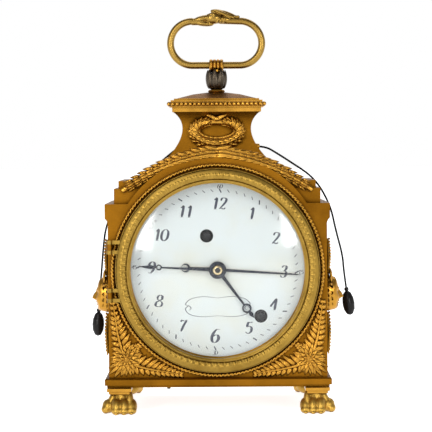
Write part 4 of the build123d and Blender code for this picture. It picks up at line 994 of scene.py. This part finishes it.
# %% Bud of petals
BUD_ROWS = ((0, 8, 176.6, 3.6, 8.6, 4.9, 72, 2.2), (1, 8, 176.8, 4.3, 10.4, 4.5, 82, 1.0),
            (2, 6, 180.2, 4.1, 7.4, 3.8, 92, 0.2))
UP = Vector((0, 0, 1))
bud = Pile()
bud.grid(ball(1.0, (5.0, 5.0, 5.3), rings=17, around=28), wrap=True, matrix=at(0, 0, 181.3))
bud.grid(ball(1.0, (3.9, 3.9, 1.5), rings=11, around=28), wrap=True, matrix=at(0, 0, 177.1))
for ring, count, z, radius, length, width, lift, curl in BUD_ROWS:
    for index in range(count):
        a = FULL_TURN * (index + 0.5 * (ring % 2) + 0.25) / count
        out = Vector((math.cos(a), math.sin(a), 0))
        petal = laid(out * radius + UP * z, out, out.cross(UP), -UP, -lift)
        bud.grid(leaf(length, width, 1.3, curl=-curl), matrix=petal)
bud.piece("bud_petals", "bronze_dark", "case_body", ["bud_finial"])
print("bud:", sum(row[1] for row in BUD_ROWS), "petals")

# %% [markdown]
# The handle is a serpent that bends round until its jaws reach its tail. It could be a bent tube with
# a head stuck on, and this way is close to that. The body is one tube along straights and two half
# circles, a little thinner at the tail. The head is lumps under one skin, as the paws are.

# %% Body of the serpent
HANDLE_Z, BEND, HALF_SPAN = 189.7, 12.3, 13.2
TOP_Z = HANDLE_Z + 2 * BEND
half_turn = np.linspace(0, math.pi, 170)[1:]
path = [(-7.0 - t * 6.2, 0, TOP_Z - 0.4 + 0.1 * t) for t in np.linspace(0, 1, 60)]
path += [(-HALF_SPAN - BEND * math.sin(t), 0, HANDLE_Z + BEND + BEND * math.cos(t)) for t in half_turn]
path += [(HALF_SPAN * (2 * t - 1), 0, HANDLE_Z) for t in np.linspace(0, 1, 120)[1:]]
path += [(HALF_SPAN + BEND * math.sin(t), 0, HANDLE_Z + BEND - BEND * math.cos(t)) for t in half_turn]
path += [(HALF_SPAN - 11.0 * t, 0, TOP_Z + 0.4 * t) for t in np.linspace(0, 1, 60)[1:]]
girth = 1.95 - 0.18 * np.clip(1 - np.linspace(0, 1, len(path)) * 8, 0, 1)
snake = Pile()
snake.grid(tube(path, girth, 42), wrap=True)
snake_body = snake.piece("serpent_body", "gilt_bright", "handle", ["serpent_handle"])
snake_body.data.materials[0] = finish["handle_gilt"]
print("serpent's body follows", len(path), "points")

# %% Head of the serpent
head = Pile()
lump(head, (4.0, 0, TOP_Z + 0.7), (5.4, 2.4, 2.3))
lump(head, (-1.4, 0, TOP_Z + 1.6), (5.2, 3.1, 3.2))
lump(head, (-7.4, 0, TOP_Z + 1.5), (5.6, 2.5, 1.8), (0, -12, 0))
lump(head, (-12.2, 0, TOP_Z + 0.6), (2.8, 1.9, 1.1), (0, -14, 0))
lump(head, (-7.0, 0, TOP_Z - 1.3), (5.6, 2.2, 1.5), (0, 6, 0))
for y in (-1, 1):
    lump(head, (-2.2, y * 2.2, TOP_Z + 3.4), (1.9, 1.0, 1.3))
    for step in range(3):
        lump(head, (1.2 + step * 1.7, y * 2.0, TOP_Z + 0.6), (0.6, 0.8, 2.1), (0, 26, 0))
    lump(head, (4.6, y * 1.3, TOP_Z + 3.9), (6.6, 0.8, 1.0), (0, 22, 0))
lump(head, (1.4, 0, TOP_Z + 5.0), (4.6, 1.4, 1.6), (0, 10, 0))
lump(head, (8.0, 0, TOP_Z + 3.6), (5.8, 1.2, 1.1), (0, 24, 0))
lump(head, (12.0, 0, TOP_Z + 2.4), (1.4, 1.0, 0.9))
snake_head = skin(head, "serpent_head", "gilt_bright", "handle", 0.26, smooth=3)
snake_head.data.materials[0] = finish["handle_gilt"]
eyes = Pile()
for y in (-1, 1):
    lump(eyes, (-3.0, y * 2.72, TOP_Z + 2.9), (0.55, 0.4, 0.55))
eyes.piece("serpent_eyes", "bronze_dark", "handle")
print("serpent's head:", len(snake_head.data.polygons), "faces")

# %% [markdown]
# Two black silk cords hang from the neck and draw the repeat and the alarm. A cloth simulation could
# hang them, but it would fall differently each time. Each cord follows the same few points as the
# part does, as one smooth curve.

# %% Routes of the cords
ROUTES = {
    "right": [(24.0, 9.6, 144.2), (28.0, 10.0, 143.9), (33.2, 10.9, 140.9), (41.8, 12.2, 135.4),
              (55.6, 13.0, 126.2), (64.4, 13.4, 111.0), (67.6, 13.5, 96.0), (71.4, 13.6, 82.0),
              (72.0, 13.7, 73.0), (73.4, 13.8, 63.4)],
    "left": [(-15.0, 17.6, 146.4), (-18.0, 20.4, 146.0), (-23.0, 25.4, 143.4), (-33.6, 33.6, 134.8),
             (-47.0, 37.4, 124.4), (-58.6, 38.2, 112.6), (-65.0, 34.6, 98.6), (-66.6, 32.6, 84.0),
             (-67.6, 31.6, 70.0), (-68.8, 31.2, 60.4), (-69.2, 31.0, 50.6)],
}


def cord_line(points, steps=14):
    """Smooth curve that touches the middle of each run, as a bent cord does."""
    p = [np.array(point, float) for point in points]
    line = [p[0]]
    for i in range(1, len(p) - 1):
        start = p[0] if i == 1 else (p[i - 1] + p[i]) / 2
        end = p[-1] if i == len(p) - 2 else (p[i] + p[i + 1]) / 2
        for t in np.linspace(0, 1, steps + 1)[1:]:
            line.append(start * (1 - t) ** 2 + p[i] * 2 * t * (1 - t) + end * t ** 2)
    return np.array(line)


print("cord routes have", [len(route) for route in ROUTES.values()], "points")

# %% Plaited silk
STRAND_STEP, PLAIT_PITCH = 0.3, 1.4


def plait(length, turn):
    """Three strands that wind once in each pitch."""
    return 0.05 * np.cos(3 * turn + FULL_TURN * length / PLAIT_PITCH)


def silk(line):
    """A plaited tube along a line, its points about one strand step apart."""
    fine = []
    for a, b in zip(line[:-1], line[1:]):
        count = max(1, int(np.linalg.norm(b - a) / STRAND_STEP))
        fine += [a + (b - a) * k / count for k in range(count)]
    strand = Pile()
    strand.grid(tube(fine + [line[-1]], 0.54, 12, plait), wrap=True)
    return strand


print("silk winds once in", PLAIT_PITCH, "mm")

# %% Cords
for side, body, hold in (("right", "repeat_pull_body", 5), ("left", "alarm_pull_body", 7)):
    line = cord_line(ROUTES[side])
    length = float(np.linalg.norm(np.diff(line, axis=0), axis=1).sum())
    strand = silk(line)
    cord = strand.piece(f"cord_{side}_silk", "cord", None)
    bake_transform(cord)
    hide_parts(f"cord_{side}")
    print(f"cord_{side}: {length:.1f} mm")

# %% [markdown]
# The photograph shows a near-white ground, yet its gilding shows dark and bright bands. One white
# world would wash them out. So there are two skies, told apart by the kind of ray. What the camera
# and the reflections meet is white along the horizon and grey overhead. What lights the dull
# surfaces is a softer dome, brightest at its top.

# %% Rays that see the backdrop
def shown_rays(tree):
    """1 for camera, glossy and transmission rays, so that all three meet the same pale background."""
    rays = tree.nodes.new("ShaderNodeLightPath")
    first, either = (node(tree, "ShaderNodeMath", operation="MAXIMUM") for _ in range(2))
    tree.links.new(rays.outputs["Is Camera Ray"], first.inputs[0])
    tree.links.new(rays.outputs["Is Glossy Ray"], first.inputs[1])
    tree.links.new(first.outputs[0], either.inputs[0])
    tree.links.new(rays.outputs["Is Transmission Ray"], either.inputs[1])
    return either.outputs[0]


print("ray switch ready")

# %% Pale floor
floor_mesh = bpy.data.meshes.new("floor")
floor_mesh.from_pydata([(-6, -3, 0), (6, -3, 0), (6, 12, 0), (-6, 12, 0)], [], [(0, 1, 2, 3)])
floor = bpy.data.objects.new("floor", floor_mesh)
bpy.context.scene.collection.objects.link(floor)
pale = bpy.data.materials.new("pale_floor")
pale.use_nodes = True
pale_shader = pale.node_tree.nodes["Principled BSDF"]
pale_shader.inputs["Base Color"].default_value = (0.9, 0.9, 0.9, 1)
pale_shader.inputs["Roughness"].default_value = 0.9
pale_shader.inputs["Specular IOR Level"].default_value = 0.1
pale_shader.inputs["Emission Color"].default_value = WHITE
glow = node(pale.node_tree, "ShaderNodeMapRange")
glow.inputs["To Min"].default_value, glow.inputs["To Max"].default_value = 0.05, 0.85
pale.node_tree.links.new(shown_rays(pale.node_tree), glow.inputs["Value"])
pale.node_tree.links.new(glow.outputs["Result"], pale_shader.inputs["Emission Strength"])
floor.data.materials.append(pale)
print("floor:", tuple(round(v, 1) for v in floor.dimensions), "metres")

# %% World
world = bpy.data.worlds.new("studio")
bpy.context.scene.world = world
world.use_nodes = True
tree = world.node_tree
place = tree.nodes.new("ShaderNodeTexCoord")
split = tree.nodes.new("ShaderNodeSeparateXYZ")
tree.links.new(place.outputs["Generated"], split.inputs[0])
SKY = [(0.0, (0.32, 0.29, 0.26, 1)), (0.25, (0.20, 0.19, 0.19, 1)), (0.6, (0.62, 0.64, 0.68, 1)),
       (1.0, (0.95, 0.97, 1.0, 1))]
BACKDROP = [(0.24, WHITE), (0.48, (0.34, 0.34, 0.35, 1)), (0.92, (0.30, 0.30, 0.31, 1))]
lighting = tree.nodes["Background"]
lighting.inputs["Strength"].default_value = 0.86
backdrop = node(tree, "ShaderNodeBackground", Strength=1.0)
tree.links.new(ramp(tree, split.outputs["Z"], SKY), lighting.inputs["Color"])
tree.links.new(ramp(tree, split.outputs["Z"], BACKDROP), backdrop.inputs["Color"])
mixer = tree.nodes.new("ShaderNodeMixShader")
for socket, source in enumerate((shown_rays(tree), lighting.outputs[0], backdrop.outputs[0])):
    tree.links.new(source, mixer.inputs[socket])
tree.links.new(mixer.outputs[0], tree.nodes["World Output"].inputs["Surface"])
print("world:", len(tree.nodes), "nodes")

# %% [markdown]
# The watch glass in the photograph shows two tall windows, one on each side. A picture of a window
# could be pasted on, but it wouldn't move with the view. Two tall softboxes high beside the camera
# make the same streaks by reflection. A key light and a back light round the metal off.

# %% Softboxes
def softbox(name, place, target, width, height, watts, colour=(1, 1, 1)):
    """Lamp of a given size in metres that faces its target."""
    lamp = bpy.data.lights.new(name, "AREA")
    lamp.shape, lamp.size, lamp.size_y, lamp.energy, lamp.color = "RECTANGLE", width, height, watts, colour
    thing = bpy.data.objects.new(name, lamp)
    bpy.context.scene.collection.objects.link(thing)
    thing.location = place
    thing.rotation_euler = (Vector(target) - Vector(place)).to_track_quat("-Z", "Y").to_euler()


softbox("left_box", (-0.605, -1.25, 0.40), (0, 0, 0.09), 0.15, 0.48, 5.2, (1.0, 0.985, 0.96))
softbox("right_box", (0.60, -1.25, 0.40), (0, 0, 0.09), 0.13, 0.42, 4.0)
softbox("key_box", (-0.30, -0.85, 0.76), (0, 0, 0.1), 0.6, 0.4, 2.5, (1.0, 0.99, 0.97))
softbox("back_box", (0.1, 0.5, 0.9), (0, 0, 0.1), 0.8, 0.5, 3.0)

# %% [markdown]
# The camera stands where the photographer's did, about 0.9 m off and above the dial, and leans by a
# third of a degree. A longer lens from further off would flatten the paws and the handle, and the
# rear feet would vanish behind the front ones.

# %% Camera
CAMERA, AIM = Vector((-0.7, -936.0, 142.0)) * MM, Vector((-0.7, FRONT, 106.7)) * MM
LEAN, LENS, SENSOR = -0.37, 138.9, 36.0
lens = bpy.data.cameras.new("camera")
lens.lens, lens.sensor_width = LENS, SENSOR
lens.clip_start, lens.clip_end = 0.05, 50
camera = bpy.data.objects.new("camera", lens)
bpy.context.scene.collection.objects.link(camera)
camera.location = CAMERA
camera.rotation_euler = (AIM - CAMERA).to_track_quat("-Z", "Y").to_euler()
camera.rotation_euler.rotate_axis("Z", math.radians(LEAN))
bpy.context.scene.camera = camera
bpy.context.scene.view_settings.view_transform = "Standard"
print("camera", round((AIM - CAMERA).length, 3), "m from the face of the case")
